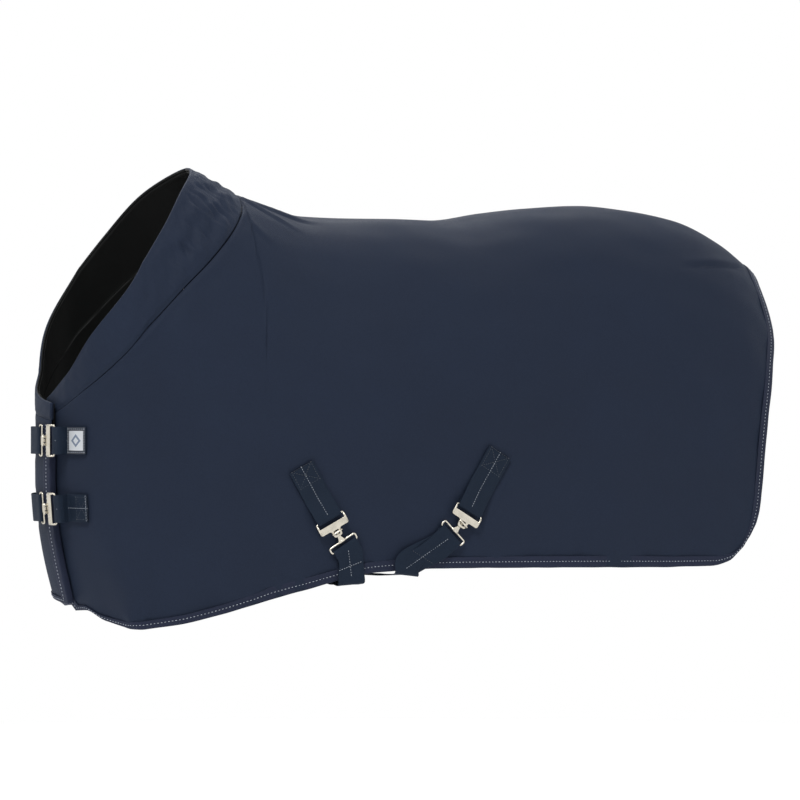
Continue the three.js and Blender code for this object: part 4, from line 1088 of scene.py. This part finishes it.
class RUG_OT_straps(bpy.types.Operator):
    """Makes the chest tabs and straps, and the belly straps with their tabs"""
    bl_idname = "rug.straps"
    bl_label = "Straps"

    def execute(self, context):
        finish = materials()["strap"]
        for i, (name, z) in enumerate(CHEST_ROWS):
            place, hook_place = chest_places(z)
            sewn = [on_cloth(-1, CENTRE_U + u, z, -1, 0, TAB_LIFT)
                    for u in (TAB_FROM - LABEL + 6, TAB_FROM - LABEL / 2, TAB_FROM)]
            tab = folded_strap(f"chest_tab_{name}_cloth", place, -BAR_BACK, BAR_Z, -1, sewn, 3, finish, i)
            settle(tab, f"chest_tab_{name}", "near_chest_flap")
            onward = [on_cloth(1, CENTRE_U + u, z, 1, 0, lift) for u, lift in (
                (22, 5.5), (42, 5), (62, 4), (84, 2), *((u, TAB_LIFT) for u in np.linspace(108, 175, 6)))]
            strap = folded_strap(f"chest_strap_{name}_cloth", hook_place, HOOK_BAR_Y, HOOK_BAR_Z, 1, onward, 3,
                                 finish, 4 + i)
            settle(strap, f"chest_strap_{name}", "off_chest_flap")
            box_stitch(onward[4:], "off_chest_flap")
            stitch_line("off_chest_flap", line_on_strap(onward, 0))
            loop_front = frame_in(place, -BAR_BACK - 9, BAR_Z - 0.4)
            last = 3 if name == "lower" else 1
            stitch_line("near_chest_flap", line_on_strap([loop_front, *sewn[:last]], 0, STRAP + 0.3))
            if name == "lower":
                box_stitch(sewn[1:], "near_chest_flap")
                stitch_line("near_chest_flap", line_across(eased(sewn, 3.0)[-2], STRAP_WIDTH / 2 - 3))
        for i, belt in enumerate(BELLY):
            name = belt["name"]
            place, hook_place = belly_places(belt)
            (u, z), (lu, lz), long = belt["plate"], belt["lean"], belt["long"]
            sewn = [on_cloth(-1, u - lu * back, z - lz * back, lu, lz, TAB_LIFT)
                    for back in (long * 0.45, long * 0.72, long)]
            tab = folded_strap(f"{name}_belly_tab", place, -BAR_BACK, BAR_Z, -1, sewn, 3, finish, 8 + i)
            settle(tab, f"{name}_near_tab", "rug_body")
            box_stitch([sewn[2], sewn[1]], "rug_body")
            loop_front = frame_in(place, -BAR_BACK - 10, BAR_Z - 0.4)
            stitch_line("rug_body", line_on_strap([*sewn[::-1], loop_front], 0, STRAP + 0.3))

            near_x, far_x = belt["near"], belt["far"]
            start = np.array([near_x, -half_width(near_x) + TURN_IN, hem_height(near_x) - CLEAR_HEM])
            stop = np.array([far_x, half_width(far_x) - TURN_IN, hem_height(far_x) - CLEAR_HEM - belt["drop"]])
            d = unit(stop - start)
            down = np.array([0, 0, -1.0])
            w = unit(np.cross(d, down))
            below = np.cross(w, d)

            def flat(p):
                return {"p": p, "d": d, "n": below, "w": w}

            def under(side, x, upper, end):
                return {"p": np.array([x, side * (half_width(x) + STRAP_LIFT + TURN_CLEAR), end[2] + 2]),
                        "d": d, "n": unit(upper["n"] + down), "w": unit(upper["w"] + w)}

            hanging = on_cloth(-1, near_x, hem_line(near_x) + 3, belt["slant"], -1, STRAP_LIFT + TURN_CLEAR)
            path = [hanging, under(-1, near_x, hanging, start), flat(start)]
            path += [flat(mix(start, stop, t)) for t in (0.25, 0.5, 0.75)] + [flat(stop)]
            strap = folded_strap(f"{name}_belly_strap_cloth", hook_place, HOOK_BAR_Y, HOOK_BAR_Z, 1, path, 1,
                                 finish, 12 + i)
            settle(strap, f"{name}_belly_strap", f"{name}_strap")
            loop_front = frame_in(hook_place, HOOK_BAR_Y + 12, HOOK_BAR_Z - 0.4)
            rows = eased([loop_front, path[0]], 3.0)
            stitch_line(f"{name}_strap", [row[1] + row[2] * (STRAP + 0.3) for row in rows])
            seam = rows[len(rows) * 3 // 5]
            stitch_line(f"{name}_strap", line_across(seam, STRAP_WIDTH / 2 - 4),
                        "thread" if name == "front" else "dark thread")
            low, high = (on_cloth(1, far_x, h, 0, 1, STRAP_LIFT) for h in (hem_line(far_x) + 6, -520))
            # It is straight from the hem up past the slider, which runs along it.
            riser = [{key: mix(low[key], high[key], t) for key in low} for t in (0, 0.1, 0.35, 0.65, 0.9, 1)]
            patch = [on_cloth(1, far_x, h, 0, 1, TAB_LIFT) for h in (FAR_TOP - 40, FAR_TOP)]
            first = flat(stop + d * HINGE_GAP)
            frames = [first, under(1, far_x, riser[0], stop), *riser, *patch]
            lifted = [raised(f, STRAP / 2) for f in frames]
            for f in lifted[2:]:
                if np.dot(f["w"], lifted[1]["w"]) < 0:
                    f["w"] = -f["w"]
            off = ribbon(f"{name}_off_side_strap", lifted, finish, thick=2.2, seed=16 + i)
            settle(off, f"{name}_off_strap", "rug_body")
            box_stitch(patch, "rug_body")
        return {"FINISHED"}


def hem_height(u):
    return min(hem_line(u - STRAP_WIDTH / 2), hem_line(u + STRAP_WIDTH / 2)) + BACK_RISE


def chest_places(z):
    place = place_of(on_cloth(1, CENTRE_U - CHEST_BAR + BAR_BACK, z, 1, 0, CHEST_RAISE))
    hook = place @ shifted(0, HOOK_Y, PLATE) @ turned(-CHEST_BEND, "X") @ shifted(0, -HOOK_Y, -PLATE)
    return place, hook


def belly_places(belt):
    (u, z), (lu, lz) = belt["plate"], belt["lean"]
    place = place_of(on_cloth(-1, u, z, lu, lz, BELLY_RAISE))
    hook = place @ shifted(0, HOOK_Y, 0) @ turned(belt["twist"], "Z") @ shifted(0, -HOOK_Y, 0)
    return place, hook


# ---------------------------------------------------------------- fasteners
def tube(name, points, radius, material, closed=False, corner=4.0, sides=14):
    """A round wire through points with bent corners."""
    pts = [np.array(p, float) for p in points]
    path = []
    count = len(pts)
    for i, p in enumerate(pts):
        if not closed and i in (0, count - 1):
            path.append(p)
            continue
        before, after = pts[i - 1], pts[(i + 1) % count]
        a = p + unit(before - p) * min(corner, np.linalg.norm(before - p) * 0.45)
        b = p + unit(after - p) * min(corner, np.linalg.norm(after - p) * 0.45)
        for t in np.linspace(0, 1, 7):
            path.append((1 - t) ** 2 * a + 2 * t * (1 - t) * p + t * t * b)
    path = np.array(path)
    tangent = unit(np.roll(path, -1, 0) - np.roll(path, 1, 0)) if closed else unit(np.gradient(path, axis=0))
    normal = unit(np.cross(tangent[0], (0.31, 0.52, 0.79)))
    rings = []
    angles = np.linspace(0, 2 * math.pi, sides, endpoint=False)
    for p, t in zip(path, tangent):
        normal = unit(normal - t * np.dot(normal, t))
        other = np.cross(t, normal)
        rings.append(p + radius * (np.cos(angles)[:, None] * normal + np.sin(angles)[:, None] * other))
    return loft(name, rings, material, closed_path=closed)


def bevelled(name, outline, depth, z0, material, edge=0.6, hole=None):
    """A flat metal part cut to an outline in x and y, with rounded edges, `depth` thick from height z0."""
    curve_data = bpy.data.curves.new(name, "CURVE")
    curve_data.dimensions = "2D"
    curve_data.fill_mode = "BOTH"
    curve_data.extrude = max(depth / 2 - edge, 0.01)
    curve_data.bevel_depth = edge
    curve_data.bevel_resolution = 2
    curve_data.offset = -edge
    for points in [outline] + ([hole] if hole else []):
        spline = curve_data.splines.new("POLY")
        spline.points.add(len(points) - 1)
        for point, (x, y) in zip(spline.points, points):
            point.co = (x, y, 0, 1)
        spline.use_cyclic_u = True
    obj = bpy.data.objects.new(name, curve_data)
    bpy.context.scene.collection.objects.link(obj)
    mesh = bpy.data.meshes.new_from_object(obj.evaluated_get(bpy.context.evaluated_depsgraph_get()))
    bpy.data.objects.remove(obj)
    points = np.array([v.co for v in mesh.vertices], float)
    points[:, 2] += z0 + depth / 2
    faces = [list(p.vertices) for p in mesh.polygons]
    bpy.data.meshes.remove(mesh)
    return weld(name, points, faces, material)


def weld(name, points, faces, material):
    """A mesh whose points at the same place are one point."""
    key = np.round(points, 4)
    _, first, same = np.unique(key, axis=0, return_index=True, return_inverse=True)
    same = np.ravel(same)
    kept = []
    for f in faces:
        g = [int(same[i]) for i in f]
        g = [a for a, b in zip(g, g[1:] + g[:1]) if a != b]
        if len(set(g)) > 2:
            kept.append(g)
    return make_mesh(name, points[first], kept, material, sharp=math.radians(50))


def arc_points(cx, cy, radius, start, stop, count):
    return [(cx + radius * math.cos(math.radians(a)), cy + radius * math.sin(math.radians(a)))
            for a in np.linspace(start, stop, count)]


def slotted_plate(name, metal):
    """A cast plate with ends turned up round the strap, a lug with the slot, and the bar behind the strap."""
    h = PLATE_HEIGHT / 2
    wide = FRAME_HALF + WIRE
    outer = SLOT_HALF + LUG_BAR
    top = SLOT_FROM + SLOT_LONG + LUG_BAR
    right = [(wide - 2 * WIRE, -h), (wide - 2 * WIRE, -BAR_BACK + 3)]
    right += [(wide, -BAR_BACK + 3), (wide, -h + 3)]
    right += arc_points(wide - 4.5, h - 4.5, 4.5, 0, 90, 7)
    right += [(outer + 4, h), (outer + 1.2, h + 1.2)]
    right += arc_points(outer - 4, top - 4, 4, 0, 90, 6)
    outline = right + [(-x, y) for x, y in right[::-1]]
    slot = (arc_points(SLOT_HALF - 1.5, SLOT_FROM + 1.5, 1.5, -90, 0, 4)
            + arc_points(SLOT_HALF - 1.5, SLOT_FROM + SLOT_LONG - 1.5, 1.5, 0, 90, 4)
            + arc_points(-SLOT_HALF + 1.5, SLOT_FROM + SLOT_LONG - 1.5, 1.5, 90, 180, 4)
            + arc_points(-SLOT_HALF + 1.5, SLOT_FROM + 1.5, 1.5, 180, 270, 4))
    face = bevelled(name, outline, PLATE, 0, metal, 0.7, slot)
    bar = tube(name + "_bar", [(-FRAME_HALF, -BAR_BACK + 6, 1), (-FRAME_HALF, -BAR_BACK, BAR_Z),
                               (FRAME_HALF, -BAR_BACK, BAR_Z), (FRAME_HALF, -BAR_BACK + 6, 1)], WIRE, metal)
    ends = [tube(f"{name}_end_{k}", [(k * FRAME_HALF, -BAR_BACK + 3, 0.9), (k * FRAME_HALF, h - 3.5, 0.9)],
                 WIRE, metal) for k in (-1, 1)]
    return join(name, [face, bar, *ends])


def t_hook(name, metal):
    """A T head on a bent neck, from a wire frame that holds the strap's loop."""
    wire_z = NECK_BACK - 2
    frame_wire = tube(name, [(-FRAME_HALF, HOOK_REACH, wire_z), (FRAME_HALF, HOOK_REACH, wire_z),
                             (FRAME_HALF, HOOK_BAR_Y, wire_z), (-FRAME_HALF, HOOK_BAR_Y, wire_z)],
                      WIRE, metal, closed=True)
    right = [(NECK, HOOK_Y - 2), (NECK, HOOK_Y + 5), (4, HOOK_Y + 13), (8, HOOK_REACH + 1.5)]
    left = [(-x, y) for x, y in right[::-1]]
    leaf = bevelled(name + "_leaf", right + left, LEAF, NECK_BACK - LEAF, metal, 0.6)
    neck = bevelled(name + "_neck", [(-NECK, HOOK_Y - 2), (NECK, HOOK_Y - 2), (NECK, HOOK_Y + 1.5),
                                     (-NECK, HOOK_Y + 1.5)], PLATE + 4 - NECK_BACK, NECK_BACK - 1, metal, 0.5)
    head = tube(name + "_head", [(-HEAD_HALF, HOOK_Y, PLATE + 2.6), (0, HOOK_Y, PLATE + 2.9),
                                 (HEAD_HALF, HOOK_Y, PLATE + 2.6)], 1.8, metal)
    knuckle = tube(name + "_knuckle", [(-8.5, HOOK_REACH, wire_z), (8.5, HOOK_REACH, wire_z)], WIRE + 0.9,
                   metal)
    return join(name, [frame_wire, leaf, neck, head, knuckle])


def slide_buckle(name, metal):
    """Two bars behind the strap, one in front of it, and a rail along each side."""
    r = SLIDER_WIRE
    half = STRAP_WIDTH / 2 + SIDE_PLAY + r
    behind, front = -r - GAP, STRAP + GAP + r
    ring = tube(name, [(-half, -SLIDER_LONG, behind), (half, -SLIDER_LONG, behind), (half, SLIDER_LONG, behind),
                       (-half, SLIDER_LONG, behind)], r, metal, closed=True)
    bar = tube(name + "_bar", [(-half, 0, behind), (-half, 0, front), (half, 0, front), (half, 0, behind)], r,
               metal, corner=2)
    return join(name, [ring, bar])


def put(obj, matrix):
    """Moves a part drawn in millimetres at the origin to its place on the rug."""
    to_metres = np.diag([MM, MM, MM, 1.0]) @ matrix @ np.diag([1 / MM, 1 / MM, 1 / MM, 1.0])
    obj.data.transform(Matrix(to_metres))


class RUG_OT_fasteners(bpy.types.Operator):
    """Makes the slotted plates, the T hooks and the sliders"""
    bl_idname = "rug.fasteners"
    bl_label = "Fasteners"

    def execute(self, context):
        metal = materials()["metal"]
        rows = []
        for name, z in CHEST_ROWS:
            place, hook = chest_places(z)
            rows.append((f"chest_plate_{name}", f"{name}_chest_plate", slotted_plate, place))
            rows.append((f"chest_hook_{name}", f"{name}_chest_hook", t_hook, hook))
        for belt in BELLY:
            name = belt["name"]
            place, hook = belly_places(belt)
            rows.append((f"{name}_belly_plate", f"{name}_plate", slotted_plate, place))
            rows.append((f"{name}_belly_hook", f"{name}_hook", t_hook, hook))
            slide = place_of(on_cloth(1, belt["far"], SLIDER_AT, 0, 1, STRAP_LIFT))
            rows.append((f"{name}_slider", f"{name}_slider", slide_buckle, slide))
        for node, body, build, place in rows:
            part = build(f"{node}_metal", metal)
            put(part, place)
            settle(part, node, body)
        return {"FINISHED"}


class RUG_OT_trims(bpy.types.Operator):
    """Makes the label and the tape under the spine"""
    bl_idname = "rug.trims"
    bl_label = "Label and Spine Tape"

    def execute(self, context):
        finish = materials()
        z = CHEST_ROWS[0][1]
        above = [on_cloth(-1, CENTRE_U + u, z, -1, 0, TAB_LIFT + STRAP + GAP + 0.4)
                 for u in (TAB_FROM - 1, TAB_FROM - LABEL / 2, TAB_FROM - LABEL + 7)]
        patch = ribbon("label_cloth", above, finish["label"], LABEL, thick=0.8, soft=0.2, seed=30, step=2.0)
        layer = patch.data.uv_layers["Cloth"].data
        uv = np.empty(len(layer) * 2)
        layer.foreach_get("uv", uv)
        uv = uv.reshape(-1, 2)
        uv[:, 0] -= uv[:, 0].max() / 2
        layer.foreach_set("uv", uv.ravel())
        settle(patch, "label", "near_chest_flap")
        rows = eased(above, 2.0)
        half = LABEL / 2 - 3
        inner = rows[1:-1]
        for k in (-1, 1):
            stitch_line("near_chest_flap", [r[1] + r[3] * k * half + r[2] * 0.6 for r in inner])
        for row in (inner[0], inner[-1]):
            stitch_line("near_chest_flap", line_across(row, half, 0.6))

        u = np.r_[np.linspace(-330, -SEAT_HALF, 40), np.linspace(-SEAT_HALF, SEAT_HALF, 12)[1:-1],
                  np.linspace(SEAT_HALF, 770, 90)]
        frames = []
        for at in u:
            p = cloth_point(-1, at, 0.0, LAYERS + RIDGE_EASE + TAPE / 2)
            if abs(at) <= SEAT_HALF:
                p = np.array([p[0], p[1], TAPE / 2])
            frames.append({"p": np.array([p[0], 0, p[2]]), "d": np.array([1.0, 0, 0]),
                           "n": np.array([0, 0, -1.0]), "w": np.array([0, 1.0, 0])})
        tape = ribbon("spine_tape_cloth", frames, finish["lining"], width=TAPE_WIDTH, thick=TAPE, soft=0.0)
        settle(tape, "spine_tape", "rug_body")
        return {"FINISHED"}


# ---------------------------------------------------------------- stitching
def stitch_tree(material):
    """Geometry nodes that lay one stitch after another along the lines of a mesh."""
    tree = bpy.data.node_groups.new("Stitches", "GeometryNodeTree")
    face = tree.interface
    face.new_socket("Geometry", in_out="INPUT", socket_type="NodeSocketGeometry")
    for name, value in (("Spacing", 0.0048), ("Stitch Length", 0.0034), ("Thread Radius", 0.00055)):
        socket = face.new_socket(name, in_out="INPUT", socket_type="NodeSocketFloat")
        socket.default_value = value
    seed = face.new_socket("Seed", in_out="INPUT", socket_type="NodeSocketInt")
    seed.default_value = 7
    face.new_socket("Geometry", in_out="OUTPUT", socket_type="NodeSocketGeometry")
    given = tree.nodes.new("NodeGroupInput")
    result = tree.nodes.new("NodeGroupOutput")
    line = add_node(tree, "GeometryNodeMeshToCurve", {"Mesh": given.outputs["Geometry"]})
    spaced = add_node(tree, "GeometryNodeCurveToPoints", {"Curve": line.outputs["Curve"],
                                                          "Length": given.outputs["Spacing"]}, mode="LENGTH")
    bead = add_node(tree, "GeometryNodeMeshUVSphere", {"Segments": 6, "Rings": 5, "Radius": 1.0})
    half = add_node(tree, "ShaderNodeMath", {0: given.outputs["Stitch Length"], 1: 0.5}, operation="MULTIPLY")
    size = add_node(tree, "ShaderNodeCombineXYZ", {"X": given.outputs["Thread Radius"],
                                                   "Y": given.outputs["Thread Radius"], "Z": half.outputs[0]})
    uneven = add_node(tree, "FunctionNodeRandomValue", {"Seed": given.outputs["Seed"], 2: 0.86, 3: 1.1},
                      data_type="FLOAT")
    scale = add_node(tree, "ShaderNodeVectorMath", {0: size.outputs[0]}, operation="SCALE")
    tree.links.new(uneven.outputs[1], scale.inputs["Scale"])
    turn = add_node(tree, "FunctionNodeAlignEulerToVector", {"Vector": spaced.outputs["Tangent"]}, axis="Z")
    laid = add_node(tree, "GeometryNodeInstanceOnPoints", {
        "Points": spaced.outputs["Points"], "Instance": bead.outputs["Mesh"], "Rotation": turn.outputs[0],
        "Scale": scale.outputs[0]})
    real = add_node(tree, "GeometryNodeRealizeInstances", {"Geometry": laid.outputs["Instances"]})
    smooth = add_node(tree, "GeometryNodeSetShadeSmooth", {"Geometry": real.outputs["Geometry"]})
    painted = add_node(tree, "GeometryNodeSetMaterial", {"Geometry": smooth.outputs["Geometry"],
                                                         "Material": material})
    tree.links.new(painted.outputs["Geometry"], result.inputs["Geometry"])
    return tree


def sew(name, lines, tree, size, coarser=1.0):
    """One plain mesh of stitches along lines of points in millimetres."""
    points, edges = [], []
    for line in lines:
        start = len(points)
        points += [tuple(np.asarray(p) * MM) for p in line]
        edges += [(start + i, start + i + 1) for i in range(len(line) - 1)]
    mesh = bpy.data.meshes.new(name)
    mesh.from_pydata(points, edges, [])
    obj = bpy.data.objects.new(name, mesh)
    bpy.context.scene.collection.objects.link(obj)
    modifier = obj.modifiers.new("Stitches", "NODES")
    modifier.node_group = tree
    inputs = {"Spacing": size.stitch_pitch * coarser, "Stitch Length": size.stitch_long,
              "Thread Radius": size.thread_radius * coarser}
    for item in tree.interface.items_tree:
        if item.item_type == "SOCKET" and item.in_out == "INPUT" and item.name in inputs:
            modifier[item.identifier] = inputs[item.name]
    bpy.context.view_layer.update()
    plain = bpy.data.meshes.new_from_object(obj.evaluated_get(bpy.context.evaluated_depsgraph_get()))
    obj.modifiers.clear()
    obj.data = plain
    plain.name = name
    return obj


class RUG_OT_stitching(bpy.types.Operator):
    """Sews the binding, the dart at the rump, the straps and the label"""
    bl_idname = "rug.stitching"
    bl_label = "Stitching"

    def execute(self, context):
        size, finish = context.scene.rug_sizes, materials()
        trees = {thread: stitch_tree(finish[thread]) for thread in ("thread", "dark thread")}
        for _, where, side in SIDES:
            # One even row of short stitches over the middle of the tape, pulled down into it a little.
            (edge, inner, out), run = edge_frames(side)
            fine = np.arange(0, run[-1], 2.4)
            edge, inner, out = ([np.interp(fine, run, part) for part in line] for line in (edge, inner, out.T))
            row = binding_point(side, (edge, inner, unit(np.stack(out, -1))), 0.5,
                                -BINDING_GAP - BINDING - 0.75, 0)
            seam = sew(f"binding_stitches_{where}_side", [row], trees["thread"], size, 1.45)
            bend_at_fold(seam)
        # The dart at the rump is sewn in dark thread, sunk in its fold.
        start, stop = np.array(DART[0], float), np.array(DART[1], float)
        bow = unit((start[1] - stop[1], stop[0] - start[0])) * DART[2]
        t = np.linspace(0.28, 0.94, 60)[:, None]
        u, v = (mix(start, stop, t) + bow * 4 * t * (1 - t)).T
        for side in (-1, 1):
            sunk = shell_height(side, u, v, size) + 0.1
            stitch_line("rug_body", list(cloth_point(side, u, v, -sunk)), "dark thread")
        groups = {}
        for body, thread, line in STITCH_LINES:
            groups.setdefault((body, thread), []).append(line)
        for (body, thread), lines in groups.items():
            seam = sew(f"{thread.replace('thread', 'stitches').replace(' ', '_')}_on_{body}", lines,
                       trees[thread], size)
            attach(seam, body)
        return {"FINISHED"}


# ---------------------------------------------------------------- stage
LAMP_AIM = -0.35  # the lamps point at this height, the middle of the rug


class RUG_OT_stage(bpy.types.Operator):
    """Sets the pale floor, the soft lights and the camera"""
    bl_idname = "rug.stage"
    bl_label = "Stage"

    def execute(self, context):
        scene = context.scene
        drop, radius = scene.rug_sizes.floor_drop, 4.0
        material, tree, shader = new_material("Studio floor, matt paint", 0.8, Emission_Strength=0.5,
                                              Emission_Color=(1, 1, 1, 1))
        place = add_node(tree, "ShaderNodeTexCoord")
        grain = add_node(tree, "ShaderNodeTexNoise", {"Vector": place.outputs["Object"], "Scale": 3.0})
        base = add_node(tree, "ShaderNodeValToRGB", {"Fac": grain.outputs["Fac"]},
                        [(0.3, srgb("f4f4f4")), (0.7, srgb("fafafa"))])
        tree.links.new(base.outputs["Color"], shader.inputs["Base Color"])
        angles = np.linspace(0, 2 * math.pi, 96, endpoint=False)
        points = [(radius * math.cos(a), radius * math.sin(a), -drop) for a in angles]
        mesh = bpy.data.meshes.new("studio_floor")
        mesh.from_pydata(points, [], [range(len(points))])
        mesh.materials.append(material)
        floor = bpy.data.objects.new("studio_floor", mesh)
        scene.collection.objects.link(floor)

        world = bpy.data.worlds.new("Studio")
        world.use_nodes = True
        # White to the eye, and dimmer as a light, so that the lamps shape the folds.
        seen = add_node(world.node_tree, "ShaderNodeLightPath")
        clear = add_node(world.node_tree, "ShaderNodeMath", {
            0: seen.outputs["Is Camera Ray"], 1: seen.outputs["Is Glossy Ray"]}, operation="MAXIMUM")
        strength = add_node(world.node_tree, "ShaderNodeMapRange", {"Value": clear.outputs[0],
                                                                    "To Min": 0.24, "To Max": 1.0})
        background = world.node_tree.nodes["Background"]
        background.inputs["Color"].default_value = (1, 1, 1, 1)
        world.node_tree.links.new(strength.outputs[0], background.inputs["Strength"])
        scene.world = world
        scene.view_settings.view_transform = "Standard"
        for name, where, power, reach in (
                ("key_light", (-2.3, -2.4, 3.7), 135, 1.5), ("fill_light", (3.2, -4.2, 1.0), 22, 2.4),
                ("back_light", (0.8, 3.4, 3.2), 70, 2.6)):
            lamp = bpy.data.lights.new(name, "AREA")
            lamp.energy = power
            lamp.size = reach
            obj = bpy.data.objects.new(name, lamp)
            obj.location = where
            obj.rotation_euler = (Vector((0, 0, LAMP_AIM)) - Vector(where)).to_track_quat("-Z", "Y").to_euler()
            scene.collection.objects.link(obj)

        turn, away, eye = math.radians(25), 7.0, -0.348
        camera = bpy.data.cameras.new("camera")
        camera.lens = 157.5
        camera.sensor_width = 36
        camera.clip_end = 100
        obj = bpy.data.objects.new("camera", camera)
        obj.location = (-away * math.sin(turn), -away * math.cos(turn), eye)
        obj.rotation_euler = (math.pi / 2, 0, -turn)
        scene.collection.objects.link(obj)
        scene.camera = obj
        return {"FINISHED"}


class RUG_PT_sidebar(bpy.types.Panel):
    """The rug's sizes, colours and pieces"""
    bl_label = "Turnout Rug"
    bl_idname = "RUG_PT_sidebar"
    bl_space_type = "VIEW_3D"
    bl_region_type = "UI"
    bl_category = "Rug"

    def draw(self, context):
        for group in (context.scene.rug_sizes, context.scene.rug_colours):
            for key in group.__annotations__:
                self.layout.prop(group, key)
        for operator in OPERATORS:
            self.layout.operator(operator.bl_idname)


OPERATORS = (RUG_OT_stage, RUG_OT_side_panels, RUG_OT_collar, RUG_OT_edge_binding, RUG_OT_straps,
             RUG_OT_fasteners, RUG_OT_trims, RUG_OT_stitching)
CLASSES = (RugSizes, RugColours, *OPERATORS, RUG_PT_sidebar)


def register():
    for cls in CLASSES:
        bpy.utils.register_class(cls)
    bpy.types.Scene.rug_sizes = bpy.props.PointerProperty(type=RugSizes)
    bpy.types.Scene.rug_colours = bpy.props.PointerProperty(type=RugColours)


def unregister():
    del bpy.types.Scene.rug_colours
    del bpy.types.Scene.rug_sizes
    for cls in reversed(CLASSES):
        bpy.utils.unregister_class(cls)


def main():
    register()
    bpy.ops.rug.stage()
    bpy.ops.rug.side_panels()
    bpy.ops.rug.collar()
    bpy.ops.rug.edge_binding()
    bpy.ops.rug.straps()
    bpy.ops.rug.fasteners()
    bpy.ops.rug.trims()
    bpy.ops.rug.stitching()


if __name__ == "__main__":
    main()
